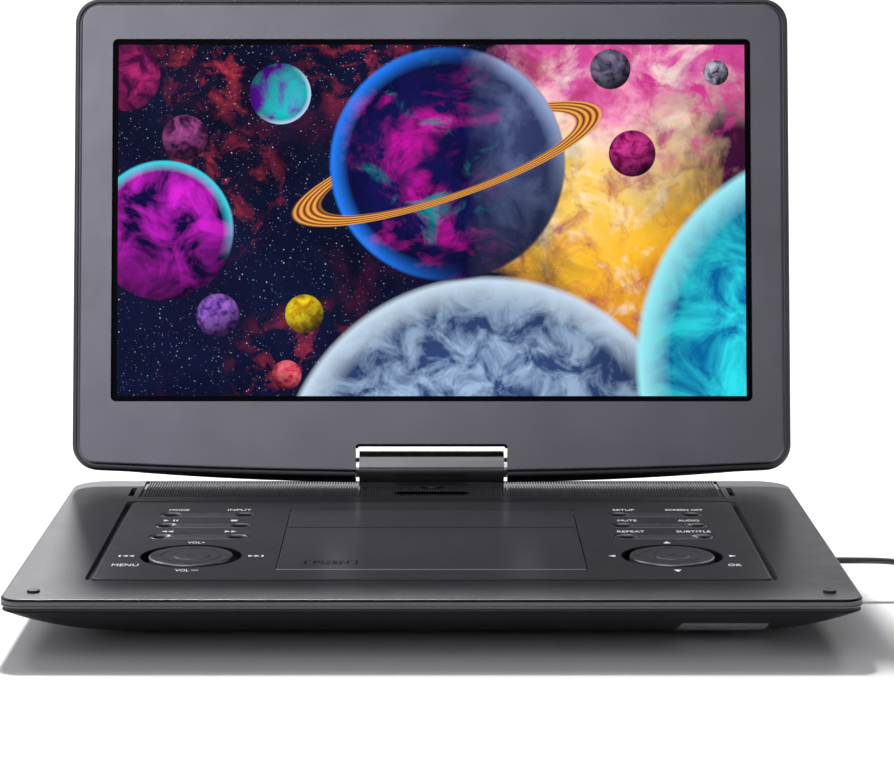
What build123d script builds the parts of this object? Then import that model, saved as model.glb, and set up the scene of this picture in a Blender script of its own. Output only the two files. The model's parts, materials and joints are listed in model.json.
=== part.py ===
"""Portable disc player: a shallow base with a disc door and keys, and a screen lid on a swivel hinge.

Row frame: X to the right, Y to the back, Z up, in millimetres. The floor is Z = 0, and the origin is the
bottom centre of the player as it stands open.
"""
from build123d import *
import math
import os

os.makedirs("parts", exist_ok=True)


def save(piece, node):
    """Label a finished piece and write it to parts/<node>.step."""
    piece.part.label = node
    export_step(piece.part, f"parts/{node}.step")


# ---------------------------------------------------------------- driving dimensions
base_width = 392
base_depth = 272
base_height = 27          # floor to top face, feet included
foot_height = 2
front_corner_radius = 10
rear_corner_radius = 18
cover_plate = 2.5         # thickness of the top face
cover_rim_height = 4      # height of the top cover's side
cover_wall = 2.4
cover_edge_radius = 1.2
rim_line_height = 0.7     # shadow line above the rim's lower edge
rim_line_width = 0.5
rim_line_depth = 0.4
lip_height = 2.2          # dark band between the two covers
lip_inset = 1.5
hull_wall = 2.2
hull_inset = 50           # how far the bottom cover curves in, at the sides and the front
hull_rear_share = 0.1     # the rear curves in by this share of it
hull_rim_inset = 0.4
hull_sections = 6
hull_corner_growth = 0.4  # how fast the corners widen as the bottom cover curves in

hinge_y = 122             # swivel and tilt axes, from the base's centre
axis_height = 10.2        # tilt axis above the top face
barrel_radius = 9
barrel_length = 78.9
lean_deg = 12.4           # lid's lean from upright at rest

lid_length = 258          # tilt axis to the lid's far edge
lid_front = 8.3           # tilt axis to the lid's front face
lid_back = 8.7            # tilt axis to the lid's back face
lid_low = 6.1             # lid's near edge below the axis, at its middle
lid_bow = 5.2             # how much the near edge rises towards the corners
lid_corner_radius = 14
lid_wall = 2
lid_rim = 2.2             # raised frame round the bezel
lid_rim_drop = 0.5        # rim's top below the bezel's face
lid_rim_gap = 1.1         # groove between the rim and the bezel
bezel_thickness = 4
notch_half_width = 41.5
notch_top = 12.6
mask_width = 350.3        # opening in the bezel
mask_height = 199.5
mask_bottom = 35.8
panel_width = 359.5       # screen module
panel_height = 209.5

control_half_width = 158.8
control_front = -95.6
control_rear = 78.0
groove = 3.2              # gap round the control panel
door_width = 147.5
door_front = -76.0
door_rear = 59.3
door_gap = 0.35
grille_half_width = 157.5
grille_front = 90
grille_rear = 134

key_x = 116.4             # middle of a key row, left and right
key_rows = [47, 21, -5]
key_length = 50.1
key_depth = 12
pad_x = 116.5
pad_y = -48.2
pad_recess_radius = 24.6
pad_radius = 20.5
pad_button_radius = 8.8

disc_y = (door_front + door_rear) / 2
well_radius = 62.5

cord_diameter = 3.2
cord_y = -14              # lead's exit, from the base's centre
cord_below_top = 10.2
coil_turn_diameter = 36   # middle of the coil's turns
coil_columns = 4
coil_layers = 3
running_gap = 0.05        # radial clearance of shafts in bores

# ---------------------------------------------------------------- derived dimensions
lean = math.radians(lean_deg)
top = base_height
axis_z = top + axis_height
rear_reach = hinge_y + lid_length * math.sin(lean) + lid_back * math.cos(lean)
base_y = -(rear_reach - base_depth / 2) / 2
rim_bottom = top - cover_rim_height
hull_top = rim_bottom - lip_height
hull_fall = hull_top - foot_height
cover_under = top - cover_plate
pocket_wall_x = 182       # outer face of the side port panels
pocket_half_length = 62
pocket_floor = 12.5
cord_z = top - cord_below_top

deck = Plane((0, base_y, 0))
lid_frame = Plane(
    origin=(0, base_y + hinge_y, axis_z), x_dir=(1, 0, 0), z_dir=(0, -math.cos(lean), math.sin(lean))
)


def hull_drop(inset):
    """Height that the bottom cover has fallen at a given inset from its rim: a parabola, flat at its end."""
    return hull_fall * (1 - (1 - inset / hull_inset) ** 2)


def base_outline(width, depth, y_shift, corner_change):
    """A plan of the base: smaller corners at the front than at the rear, both changed by the same amount."""
    with BuildSketch() as outline:
        with Locations((0, y_shift)):
            Rectangle(width, depth)
        fillet(outline.vertices().group_by(Axis.Y)[0], front_corner_radius + corner_change)
        fillet(outline.vertices().group_by(Axis.Y)[-1], rear_corner_radius + corner_change)
    return outline.sketch


# ---------------------------------------------------------------- base: bottom cover and infrared window
screw_places = [(-152, -84), (152, -84), (-152, 70), (152, 70), (-86, 70), (86, 70)]
boss_radius = 4
screw_head_radius = 3
screw_shank_radius = 1.3
head_seat = 17
screw_clearance = 0.15
ir_corners = [(112, 4.6), (154, 4.6), (154, 13.0), (114.5, 13.0)]
ir_depth = 48             # reach of the infrared window's cut, from the front

with BuildPart() as hull_shell:
    for step in range(hull_sections):
        inset = hull_inset * step / (hull_sections - 1)
        with BuildSketch(deck.offset(hull_top - hull_drop(inset))):
            add(
                base_outline(
                    base_width - 2 * (hull_rim_inset + inset),
                    base_depth - 2 * hull_rim_inset - inset * (1 + hull_rear_share),
                    inset * (1 - hull_rear_share) / 2,
                    inset * hull_corner_growth,
                )
            )
    loft()
    for step in range(hull_sections):
        inset = hull_inset * step / (hull_sections - 1)
        with BuildSketch(deck.offset(hull_top + hull_wall - hull_drop(inset))):
            add(
                base_outline(
                    base_width - 2 * (hull_rim_inset + hull_wall + inset),
                    base_depth - 2 * (hull_rim_inset + hull_wall) - inset * (1 + hull_rear_share),
                    inset * (1 - hull_rear_share) / 2,
                    inset * hull_corner_growth - hull_wall,
                )
            )
    loft(mode=Mode.SUBTRACT)

with BuildPart() as ir_window:
    add(hull_shell.part)
    with BuildSketch(Plane((0, base_y - base_depth / 2, 0), x_dir=(1, 0, 0), z_dir=(0, -1, 0))):
        with BuildLine():
            Polyline(*ir_corners, close=True)
        make_face()
    extrude(amount=-ir_depth, mode=Mode.INTERSECT)

with BuildPart() as base_bottom_cover:
    add(hull_shell.part)
    with BuildSketch(Plane((0, base_y - base_depth / 2, 0), x_dir=(1, 0, 0), z_dir=(0, -1, 0))):
        with BuildLine():
            Polyline(*ir_corners, close=True)
        make_face()
    extrude(amount=-ir_depth, mode=Mode.SUBTRACT)
    # lip that carries the top cover
    with BuildSketch(deck.offset(hull_top)):
        add(base_outline(base_width - 2 * lip_inset, base_depth - 2 * lip_inset, 0, -lip_inset))
        add(
            base_outline(
                base_width - 2 * (lip_inset + hull_wall),
                base_depth - 2 * (lip_inset + hull_wall),
                0,
                -lip_inset - hull_wall,
            ),
            mode=Mode.SUBTRACT,
        )
    extrude(amount=lip_height)
    # screw posts
    with BuildSketch(deck.offset(foot_height + 1)):
        with Locations(*screw_places):
            Circle(boss_radius)
    extrude(amount=cover_under - 2 - foot_height - 1)
    with BuildSketch(deck):
        with Locations(*screw_places):
            Circle(screw_shank_radius + screw_clearance)
    extrude(amount=top, mode=Mode.SUBTRACT)
    with BuildSketch(deck):
        with Locations(*screw_places):
            Circle(screw_head_radius + screw_clearance)
    extrude(amount=head_seat, mode=Mode.SUBTRACT)
    # side pockets for the ports
    for side in (-1, 1):
        with BuildSketch(deck.offset(pocket_floor)):
            with Locations((side * (pocket_wall_x + 6), 0)):
                Rectangle(24, 2 * pocket_half_length)
        extrude(amount=hull_top - pocket_floor, mode=Mode.SUBTRACT)
    # cooling slots under the main board
    with BuildSketch(deck):
        with Locations((105, 0)):
            with GridLocations(7, 0, 6, 1):
                SlotOverall(32, 2.4, rotation=90)
    extrude(amount=foot_height + hull_wall + 1, mode=Mode.SUBTRACT)
save(base_bottom_cover, "base_bottom_cover")
save(ir_window, "ir_window")

# ---------------------------------------------------------------- base: top cover
with BuildPart() as base_top_cover:
    with BuildSketch(deck.offset(rim_bottom)):
        add(base_outline(base_width, base_depth, 0, 0))
    extrude(amount=cover_rim_height)
    fillet(base_top_cover.faces().sort_by(Axis.Z)[-1].edges(), cover_edge_radius)
    # shadow line round the side, near its lower edge
    with BuildSketch(deck.offset(rim_bottom + rim_line_height)):
        add(base_outline(base_width + 2, base_depth + 2, 0, 1))
        add(
            base_outline(
                base_width - 2 * rim_line_depth, base_depth - 2 * rim_line_depth, 0, -rim_line_depth
            ),
            mode=Mode.SUBTRACT,
        )
    extrude(amount=rim_line_width, mode=Mode.SUBTRACT)
    with BuildSketch(deck.offset(rim_bottom)):
        add(base_outline(base_width - 2 * cover_wall, base_depth - 2 * cover_wall, 0, -cover_wall))
    extrude(amount=cover_rim_height - cover_plate, mode=Mode.SUBTRACT)
    with BuildSketch(deck.offset(rim_bottom)):
        with Locations((0, (control_front + control_rear) / 2)):
            RectangleRounded(
                2 * (control_half_width + groove), control_rear - control_front + 2 * groove, 5
            )
        with Locations((0, (grille_front + grille_rear) / 2)):
            Rectangle(2 * grille_half_width, grille_rear - grille_front)
        with Locations((-grille_half_width - 4.5, 105), (grille_half_width + 4.5, 105)):
            SlotOverall(22, 3, rotation=90)
    extrude(amount=cover_rim_height, mode=Mode.SUBTRACT)
save(base_top_cover, "base_top_cover")

# ---------------------------------------------------------------- base: control panel
flange = 4                # reach of the panel's hidden flange beyond the groove
flange_under = cover_under - 2
key_gap = 0.4
lug_thickness = 1.6
trunnion_radius = 1.0
key_axis_z = top - 4.0
key_trunnion_reach = key_depth / 2 + 2.2
cup_floor_under = 19.6
cup_floor_top = 20.6
stem_hole_radius = 1.9
stem_places = [(14, 0), (-14, 0), (0, 14), (0, -14)]
pivot_axis_z = top - 4.2
pivot_lug_x = 6.2
door_axis_y = door_rear - 3
door_axis_z = top - 1.6
door_pin_radius = 1.1
door_pin_reach = 2.4
key_centres = [(side * key_x, row) for side in (-1, 1) for row in key_rows]
pad_centres = [(-pad_x, pad_y), (pad_x, pad_y)]

with BuildPart() as control_panel:
    with BuildSketch(deck.offset(flange_under)):
        with Locations((0, (control_front + control_rear) / 2)):
            RectangleRounded(
                2 * (control_half_width + groove + flange),
                control_rear - control_front + 2 * (groove + flange),
                5 + flange,
            )
    extrude(amount=cover_under - flange_under)
    with BuildSketch(deck.offset(cover_under)):
        with Locations((0, (control_front + control_rear) / 2)):
            RectangleRounded(2 * control_half_width, control_rear - control_front, 3.5)
    extrude(amount=cover_plate)
    fillet(control_panel.faces().sort_by(Axis.Z)[-1].edges(), 0.4)
    # pad cups
    with BuildSketch(deck.offset(cup_floor_under)):
        with Locations(*pad_centres):
            Circle(pad_recess_radius + 1.6)
    extrude(amount=flange_under - cup_floor_under)
    # lugs that carry the key trunnions
    with BuildSketch(deck.offset(key_axis_z - 2)):
        for centre_x, centre_y in key_centres:
            with Locations(*[(centre_x, centre_y + side * (key_depth / 2 + 2)) for side in (-1, 1)]):
                Rectangle(5, lug_thickness + 2.4)
    extrude(amount=2)
    # openings: door, keys, pads
    with BuildSketch(deck.offset(flange_under)):
        with Locations((0, disc_y)):
            Rectangle(door_width + 2 * door_gap, door_rear - door_front + 2 * door_gap + 0.5)
        with Locations(*key_centres):
            SlotOverall(key_length, key_depth)
    extrude(amount=top, mode=Mode.SUBTRACT)
    with BuildSketch(deck.offset(cup_floor_top)):
        with Locations(*pad_centres):
            Circle(pad_recess_radius)
    extrude(amount=top, mode=Mode.SUBTRACT)
    with BuildSketch(deck.offset(cup_floor_under)):
        for centre_x, centre_y in pad_centres:
            with Locations(*[(centre_x + dx, centre_y + dy) for dx, dy in stem_places]):
                Circle(stem_hole_radius)
    extrude(amount=cup_floor_top - cup_floor_under, mode=Mode.SUBTRACT)
    # pivot lugs inside the cups
    with BuildSketch(deck.offset(cup_floor_top)):
        for centre_x, centre_y in pad_centres:
            with Locations((centre_x - pivot_lug_x, centre_y), (centre_x + pivot_lug_x, centre_y)):
                Rectangle(lug_thickness, 3.4)
    extrude(amount=pivot_axis_z + 1.3 - cup_floor_top)
    # bores for the pivots, the key trunnions and the door pins
    with BuildSketch(Plane((-pad_x - 10, base_y + pad_y, pivot_axis_z), x_dir=(0, 1, 0), z_dir=(1, 0, 0))):
        Circle(trunnion_radius + running_gap)
    extrude(amount=20, mode=Mode.SUBTRACT)
    with BuildSketch(Plane((pad_x - 10, base_y + pad_y, pivot_axis_z), x_dir=(0, 1, 0), z_dir=(1, 0, 0))):
        Circle(trunnion_radius + running_gap)
    extrude(amount=20, mode=Mode.SUBTRACT)
    for centre_x, centre_y in key_centres:
        with BuildSketch(
            Plane(
                (centre_x, base_y + centre_y - key_trunnion_reach - 0.3, key_axis_z),
                x_dir=(1, 0, 0), z_dir=(0, -1, 0),
            )
        ):
            Circle(trunnion_radius + running_gap)
        extrude(amount=-2 * (key_trunnion_reach + 0.3), mode=Mode.SUBTRACT)
    with BuildSketch(
        Plane(
            (-door_width / 2 - door_pin_reach - 0.4, base_y + door_axis_y, door_axis_z),
            x_dir=(0, 1, 0), z_dir=(1, 0, 0),
        )
    ):
        Circle(door_pin_radius + running_gap)
    extrude(amount=door_width + 2 * door_pin_reach + 0.8, mode=Mode.SUBTRACT)
    # blind holes for the case screws
    with BuildSketch(deck.offset(flange_under)):
        with Locations(*screw_places):
            Circle(screw_shank_radius + 0.05)
    extrude(amount=3.4, mode=Mode.SUBTRACT)
save(control_panel, "control_panel")

with BuildPart() as base_screws:
    with BuildSketch(deck.offset(head_seat - 1.8)):
        with Locations(*screw_places):
            Circle(screw_head_radius)
    extrude(amount=1.8)
    with BuildSketch(deck.offset(head_seat)):
        with Locations(*screw_places):
            Circle(screw_shank_radius)
    extrude(amount=flange_under + 3.2 - head_seat)
    with BuildSketch(deck.offset(head_seat - 1.8)):
        with Locations(*screw_places):
            Rectangle(3.6, 0.8)
            Rectangle(0.8, 3.6)
    extrude(amount=1, mode=Mode.SUBTRACT)
save(base_screws, "base_screws")

# ---------------------------------------------------------------- base: feet and bumpers
with BuildPart() as rubber_feet:
    with BuildSketch(deck):
        with Locations((-136.5, -79), (136.5, -79), (-136.5, 100), (136.5, 100)):
            Circle(6)
    extrude(amount=foot_height)
    fillet(rubber_feet.edges().group_by(Axis.Z)[0], 0.5)
save(rubber_feet, "rubber_feet")

bumper_height = 1.2
with BuildPart() as lid_bumpers:
    with BuildSketch(deck.offset(top)):
        with Locations((-182, -120.7), (182, -120.7)):
            Circle(3)
    extrude(amount=bumper_height)
    fillet(lid_bumpers.edges().group_by(Axis.Z)[-1], 0.5)
save(lid_bumpers, "lid_bumpers")

# ---------------------------------------------------------------- base: speaker grille, window, speakers
window_half_length = 21
window_half_depth = 3.2
window_point = 4          # length of each pointed end
window_y = 104
grille_gap = 0.15
post_radius = 6           # swivel post of the hinge
with BuildPart() as indicator_window:
    with BuildSketch(deck.offset(cover_under - 0.5)):
        with BuildLine():
            Polyline(
                (-window_half_length, window_y),
                (-window_half_length + window_point, window_y + window_half_depth),
                (window_half_length - window_point, window_y + window_half_depth),
                (window_half_length, window_y),
                (window_half_length - window_point, window_y - window_half_depth),
                (-window_half_length + window_point, window_y - window_half_depth),
                close=True,
            )
        make_face()
    extrude(amount=cover_plate + 0.2)
save(indicator_window, "indicator_window")

with BuildPart() as speaker_grille:
    with BuildSketch(deck.offset(cover_under)):
        with Locations((0, (grille_front + grille_rear) / 2)):
            Rectangle(2 * (grille_half_width - grille_gap), grille_rear - grille_front - 2 * grille_gap)
    extrude(amount=cover_plate - 0.2)
    with BuildSketch(deck.offset(cover_under - 1.4)):
        with Locations((0, (grille_front + grille_rear) / 2 - 1.5)):
            Rectangle(2 * (grille_half_width + 2), grille_rear - grille_front)
    extrude(amount=1.4)
    # sound slots over the speakers
    with BuildSketch(deck.offset(cover_under - 1.4)):
        with Locations((-112, 111), (112, 111)):
            with GridLocations(5.8, 0, 9, 1):
                SlotOverall(26, 2.6, rotation=90)
        with Locations((0, hinge_y)):
            Circle(post_radius + 0.4)
    extrude(amount=cover_plate + 2, mode=Mode.SUBTRACT)
    add(indicator_window.part, mode=Mode.SUBTRACT)
save(speaker_grille, "speaker_grille")

with BuildPart() as speakers:
    with BuildSketch(deck.offset(20.4)):
        with Locations((-112, 109), (112, 109)):
            SlotOverall(58, 30)
    extrude(amount=2.4)
    with BuildSketch(deck.offset(8)):
        with Locations((-112, 109), (112, 109)):
            Circle(12)
    extrude(amount=12.4)
    with BuildSketch(deck.offset(21)):
        with Locations((-112, 109), (112, 109)):
            SlotOverall(50, 22)
    extrude(amount=1.8, mode=Mode.SUBTRACT)
save(speakers, "speakers")

# ---------------------------------------------------------------- rocker keys
dish_radius = 5.4
dish_depth = 1.7
dish_sphere = (dish_radius ** 2 + dish_depth ** 2) / (2 * dish_depth)
press_x = key_length / 2 - key_gap - dish_radius - 0.3
dome_top = 20.9
key_names = [f"key_{side}_{row + 1}" for side in ("left", "right") for row in range(len(key_rows))]
for node, (centre_x, centre_y) in zip(key_names, key_centres):
    with BuildPart() as rocker_key:
        with BuildSketch(Plane((centre_x, base_y + centre_y, top - 3))):
            SlotOverall(key_length - 2 * key_gap, key_depth - 2 * key_gap)
        extrude(amount=3)
        fillet(rocker_key.edges().group_by(Axis.Z)[-1], 0.5)
        with Locations(*[(centre_x + side * press_x, base_y + centre_y, top + dish_sphere - dish_depth)
                         for side in (-1, 1)]):
            Sphere(dish_sphere, mode=Mode.SUBTRACT)
        with BuildSketch(Plane((centre_x, base_y + centre_y, key_axis_z - 1.1))):
            Rectangle(4, key_depth - 2 * key_gap)
        extrude(amount=2.2)
        with BuildSketch(Plane((centre_x, base_y + centre_y, dome_top + 1))):
            with Locations((-press_x, 0), (press_x, 0)):
                Circle(1.5)
        extrude(amount=top - 3 - dome_top - 1)
        with BuildSketch(
            Plane(
                (centre_x, base_y + centre_y - key_trunnion_reach, key_axis_z),
                x_dir=(1, 0, 0), z_dir=(0, -1, 0),
            )
        ):
            Circle(trunnion_radius)
        extrude(amount=-2 * key_trunnion_reach)
    save(rocker_key, node)

# ---------------------------------------------------------------- navigation pads on two crossed pivots
pad_under = top - 2.4
pad_top = top + 0.4
button_floor = top - 1.8
ring_groove = 14.5        # engraved ring on the pad
mark_reach = 17           # engraved dashes, from the pad's centre
engraving = 0.3
for side_name, (centre_x, centre_y) in zip(("left", "right"), pad_centres):
    centre = Vector(centre_x, base_y + centre_y, pivot_axis_z)
    along_x = Plane(centre - Vector(pivot_lug_x + 0.8, 0, 0), x_dir=(0, 1, 0), z_dir=(1, 0, 0))
    along_y = Plane(centre + Vector(0, pivot_lug_x + 0.8, 0), x_dir=(1, 0, 0), z_dir=(0, -1, 0))

    with BuildPart() as pad_pivot:
        with BuildSketch(Plane(centre - Vector(0, 0, 1.2))):
            RectangleRounded(6.4, 6.4, 1)
        extrude(amount=2.4)
        with BuildSketch(along_x):
            Circle(trunnion_radius)
        extrude(amount=2 * (pivot_lug_x + 0.8))
        with BuildSketch(along_y):
            Circle(trunnion_radius)
        extrude(amount=2 * (pivot_lug_x + 0.8))
    save(pad_pivot, f"pad_pivot_{side_name}")

    with BuildPart() as pad:
        with BuildSketch(Plane((centre.X, centre.Y, pad_under))):
            Circle(pad_radius)
        extrude(amount=pad_top - pad_under)
        fillet(pad.edges().group_by(Axis.Z)[-1], 0.9)
        with BuildSketch(Plane((centre.X, centre.Y, button_floor))):
            Circle(pad_button_radius + 0.35)
        extrude(amount=top, mode=Mode.SUBTRACT)
        with BuildSketch(Plane((centre.X, centre.Y, pad_top - engraving))):
            Circle(ring_groove + 0.35)
            Circle(ring_groove - 0.35, mode=Mode.SUBTRACT)
            with Locations((-mark_reach, 0), (mark_reach, 0), (0, mark_reach), (0, -mark_reach)):
                Rectangle(4.4, 0.8)
        extrude(amount=1, mode=Mode.SUBTRACT)
        with BuildSketch(Plane((centre.X, centre.Y, pad_under))):
            Circle(1.65)
        extrude(amount=top, mode=Mode.SUBTRACT)
        with BuildSketch(Plane((centre.X, centre.Y, pivot_axis_z - 1.4))):
            with Locations((0, pivot_lug_x), (0, -pivot_lug_x)):
                Rectangle(3.4, lug_thickness)
        extrude(amount=pad_under - pivot_axis_z + 1.4)
        with BuildSketch(Plane((centre.X, centre.Y, cup_floor_top + 0.3))):
            with Locations(*stem_places):
                Circle(1.2)
        extrude(amount=pad_under - cup_floor_top - 0.3)
        with BuildSketch(along_y.offset(-1)):
            Circle(trunnion_radius + running_gap)
        extrude(amount=2 * (pivot_lug_x + 1.8), mode=Mode.SUBTRACT)
    save(pad, f"pad_{side_name}")

    with BuildPart() as pad_button:
        with BuildSketch(Plane((centre.X, centre.Y, button_floor + 0.7))):
            Circle(pad_button_radius)
        extrude(amount=pad_top - button_floor - 0.6)
        fillet(pad_button.edges().group_by(Axis.Z)[-1], 0.3)
        with BuildSketch(Plane((centre.X, centre.Y, pad_top - engraving + 0.1))):
            SlotOverall(4.4, 1)
        extrude(amount=1, mode=Mode.SUBTRACT)
        with BuildSketch(Plane((centre.X, centre.Y, pad_under + 0.15))):
            Circle(1.55)
        extrude(amount=button_floor + 0.7 - pad_under - 0.15)
    save(pad_button, f"pad_button_{side_name}")

# ---------------------------------------------------------------- disc door
door_under = top - 2.1
band_rear = 17
band_front = -42
with BuildPart() as disc_door:
    with BuildSketch(deck.offset(door_under)):
        with Locations((0, disc_y)):
            RectangleRounded(door_width, door_rear - door_front, 0.8)
    extrude(amount=top - door_under)
    fillet(disc_door.edges().group_by(Axis.Z)[-1], 0.35)
    with BuildSketch(deck.offset(top - 0.2)):
        with Locations((0, (band_rear + band_front) / 2)):
            Rectangle(door_width - 1.6, band_rear - band_front)
        with Locations((-60.7, -62), (-35.8, -62)):
            Rectangle(0.6, 8)
    extrude(amount=1, mode=Mode.SUBTRACT)
    with BuildSketch(
        Plane(
            (-door_width / 2 - door_pin_reach, base_y + door_axis_y, door_axis_z),
            x_dir=(0, 1, 0), z_dir=(1, 0, 0),
        )
    ):
        Circle(door_pin_radius)
    extrude(amount=door_width + 2 * door_pin_reach)
save(disc_door, "disc_door")

# ---------------------------------------------------------------- disc deck, spindle and laser sled
deck_plate_top = 21.5
deck_plate_under = 20
well_floor = 15.5
well_floor_under = 14
hull_floor = foot_height + hull_wall
deck_half_width = 77.5
deck_front = -80
deck_rear = 63
latch_x, latch_y = -48, -70
latch_radius = 2.0
rail_x = 17
rail_z = 10.6
rail_radius = 1.5
sled_y = disc_y - 25
sled_travel = 30
sled_half_length = 7
screw_x = 26
rail_front = -77.5
rail_rear = -23
with BuildPart() as disc_deck:
    with BuildSketch(deck.offset(deck_plate_under)):
        with Locations((0, (deck_front + deck_rear) / 2)):
            RectangleRounded(2 * deck_half_width, deck_rear - deck_front, 3)
    extrude(amount=flange_under - deck_plate_under)
    with BuildSketch(deck.offset(deck_plate_top)):
        with Locations((0, (deck_front + deck_rear) / 2)):
            RectangleRounded(2 * deck_half_width - 4, deck_rear - deck_front - 4, 2)
    extrude(amount=5, mode=Mode.SUBTRACT)
    with BuildSketch(deck.offset(well_floor_under)):
        with Locations((0, disc_y)):
            Circle(well_radius + 1.5)
    extrude(amount=deck_plate_under - well_floor_under)
    with BuildSketch(deck.offset(12)):
        with Locations((latch_x, latch_y)):
            Circle(latch_radius + 2)
    extrude(amount=deck_plate_under - 12)
    with BuildSketch(deck.offset(hull_floor)):
        with Locations((-72, -74), (72, -74), (-72, 56), (72, 56)):
            Circle(3)
    extrude(amount=deck_plate_under - hull_floor)
    with BuildSketch(deck.offset(well_floor)):
        with Locations((0, disc_y)):
            Circle(well_radius)
        # finger notches at both sides of the disc
        with Locations((-well_radius, disc_y), (well_radius, disc_y)):
            Rectangle(16, 26)
    extrude(amount=10, mode=Mode.SUBTRACT)
    with BuildSketch(deck.offset(8)):
        with Locations((-rail_x, rail_rear - 1.5), (rail_x, rail_rear - 1.5)):
            Rectangle(6, 3)
        with Locations((screw_x, rail_rear - 1.5)):
            Rectangle(6, 3)
    extrude(amount=well_floor_under - 8)
    with BuildSketch(deck.offset(8)):
        with Locations((-rail_x, rail_front + 1.5), (rail_x, rail_front + 1.5), (screw_x, rail_front + 1.5)):
            Rectangle(6, 3)
    extrude(amount=deck_plate_under - 8)
    with BuildSketch(deck):
        with Locations((0, disc_y)):
            Circle(5)
        with Locations((latch_x, latch_y)):
            Circle(latch_radius + running_gap)
        with Locations((0, sled_y - sled_travel / 2)):
            Rectangle(18, sled_travel + 11.5)
    extrude(amount=top, mode=Mode.SUBTRACT)
    for bore_x, bore_radius in ((-rail_x, rail_radius), (rail_x, rail_radius), (screw_x, rail_radius + 0.05)):
        with BuildSketch(Plane((bore_x, base_y + rail_rear, rail_z), x_dir=(1, 0, 0), z_dir=(0, -1, 0))):
            Circle(bore_radius)
        extrude(amount=rail_rear - rail_front, mode=Mode.SUBTRACT)
save(disc_deck, "disc_deck")

with BuildPart() as door_latch:
    with BuildSketch(deck.offset(15)):
        with Locations((latch_x, latch_y)):
            Circle(latch_radius)
    extrude(amount=door_under - 0.1 - 15)
    fillet(door_latch.edges().group_by(Axis.Z)[-1], 0.6)
save(door_latch, "door_latch")

with BuildPart() as spindle_motor:
    with BuildSketch(deck.offset(5)):
        with Locations((0, disc_y)):
            Circle(11)
    extrude(amount=7.5)
    with BuildSketch(deck.offset(12.5)):
        with Locations((0, disc_y)):
            Circle(13)
    extrude(amount=well_floor_under - 12.5)
    with BuildSketch(deck.offset(5)):
        with Locations((0, disc_y)):
            Circle(1 + running_gap)
    extrude(amount=10, mode=Mode.SUBTRACT)
save(spindle_motor, "spindle_motor")

hub_seat = 19.4
with BuildPart() as spindle_hub:
    with BuildSketch(deck.offset(6)):
        with Locations((0, disc_y)):
            Circle(1)
    extrude(amount=hub_seat - 6)
    with BuildSketch(deck.offset(hub_seat - 1.8)):
        with Locations((0, disc_y)):
            Circle(14)
    extrude(amount=1.8)
    with BuildSketch(deck.offset(hub_seat)):
        with Locations((0, disc_y)):
            Circle(7.3)
    extrude(amount=2.8)
    fillet(spindle_hub.edges().group_by(Axis.Z)[-1], 1)
    with Locations((0, base_y + disc_y, hub_seat + 1.4)):
        with PolarLocations(6.8, 3):
            Sphere(0.9)
save(spindle_hub, "spindle_hub")

with BuildPart() as sled_rails:
    for side in (-1, 1):
        with BuildSketch(
            Plane((side * rail_x, base_y + rail_rear, rail_z), x_dir=(1, 0, 0), z_dir=(0, -1, 0))
        ):
            Circle(rail_radius)
        extrude(amount=rail_rear - rail_front)
save(sled_rails, "sled_rails")

with BuildPart() as laser_sled:
    with BuildSketch(deck.offset(rail_z - 2.3)):
        with Locations((0, sled_y)):
            RectangleRounded(2 * rail_x + 7, 2 * sled_half_length, 1.5)
        with Locations((screw_x - 2.5, sled_y)):
            Rectangle(9, 4)
    extrude(amount=4.6)
    with BuildSketch(deck.offset(rail_z + 2.3)):
        with Locations((0, sled_y)):
            Circle(5)
    extrude(amount=well_floor + 0.3 - rail_z - 2.3)
    with BuildSketch(deck.offset(well_floor + 0.3)):
        with Locations((0, sled_y)):
            Circle(2.5)
    extrude(amount=0.4)
    for bore_x, bore_radius in ((-rail_x, rail_radius), (rail_x, rail_radius), (screw_x, rail_radius)):
        with BuildSketch(Plane((bore_x, base_y + rail_rear, rail_z), x_dir=(1, 0, 0), z_dir=(0, -1, 0))):
            Circle(bore_radius + running_gap)
        extrude(amount=rail_rear - rail_front, mode=Mode.SUBTRACT)
save(laser_sled, "laser_sled")

with BuildPart() as sled_motor:
    with BuildSketch(Plane((screw_x, base_y + rail_rear, rail_z), x_dir=(1, 0, 0), z_dir=(0, 1, 0))):
        Circle(3.3)
    extrude(amount=12)
    with BuildSketch(Plane((screw_x, base_y + rail_rear, rail_z), x_dir=(1, 0, 0), z_dir=(0, 1, 0))):
        Circle(rail_radius + running_gap)
    extrude(amount=3, mode=Mode.SUBTRACT)
save(sled_motor, "sled_motor")

with BuildPart() as sled_screw:
    with BuildSketch(Plane((screw_x, base_y + rail_rear + 2.8, rail_z), x_dir=(1, 0, 0), z_dir=(0, -1, 0))):
        Circle(rail_radius)
    extrude(amount=rail_rear - rail_front + 2.8)
save(sled_screw, "sled_screw")

# ---------------------------------------------------------------- boards and battery
board_thickness = 1.4
key_board_z = 17.6
with BuildPart() as key_boards:
    for side in (-1, 1):
        with BuildSketch(deck.offset(key_board_z)):
            with Locations((side * 115.5, -8)):
                Rectangle(63, 144)
        extrude(amount=board_thickness)
        with BuildSketch(deck.offset(key_board_z + board_thickness)):
            with Locations(*[(side * key_x + end * press_x, row) for end in (-1, 1) for row in key_rows]):
                Circle(2.4)
        extrude(amount=dome_top - key_board_z - board_thickness)
        with BuildSketch(deck.offset(key_board_z + board_thickness)):
            with Locations(*[(side * pad_x + dx, pad_y + dy) for dx, dy in stem_places]):
                Circle(1.5)
        extrude(amount=cup_floor_under + 0.3 - key_board_z - board_thickness)
save(key_boards, "key_boards")

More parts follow.
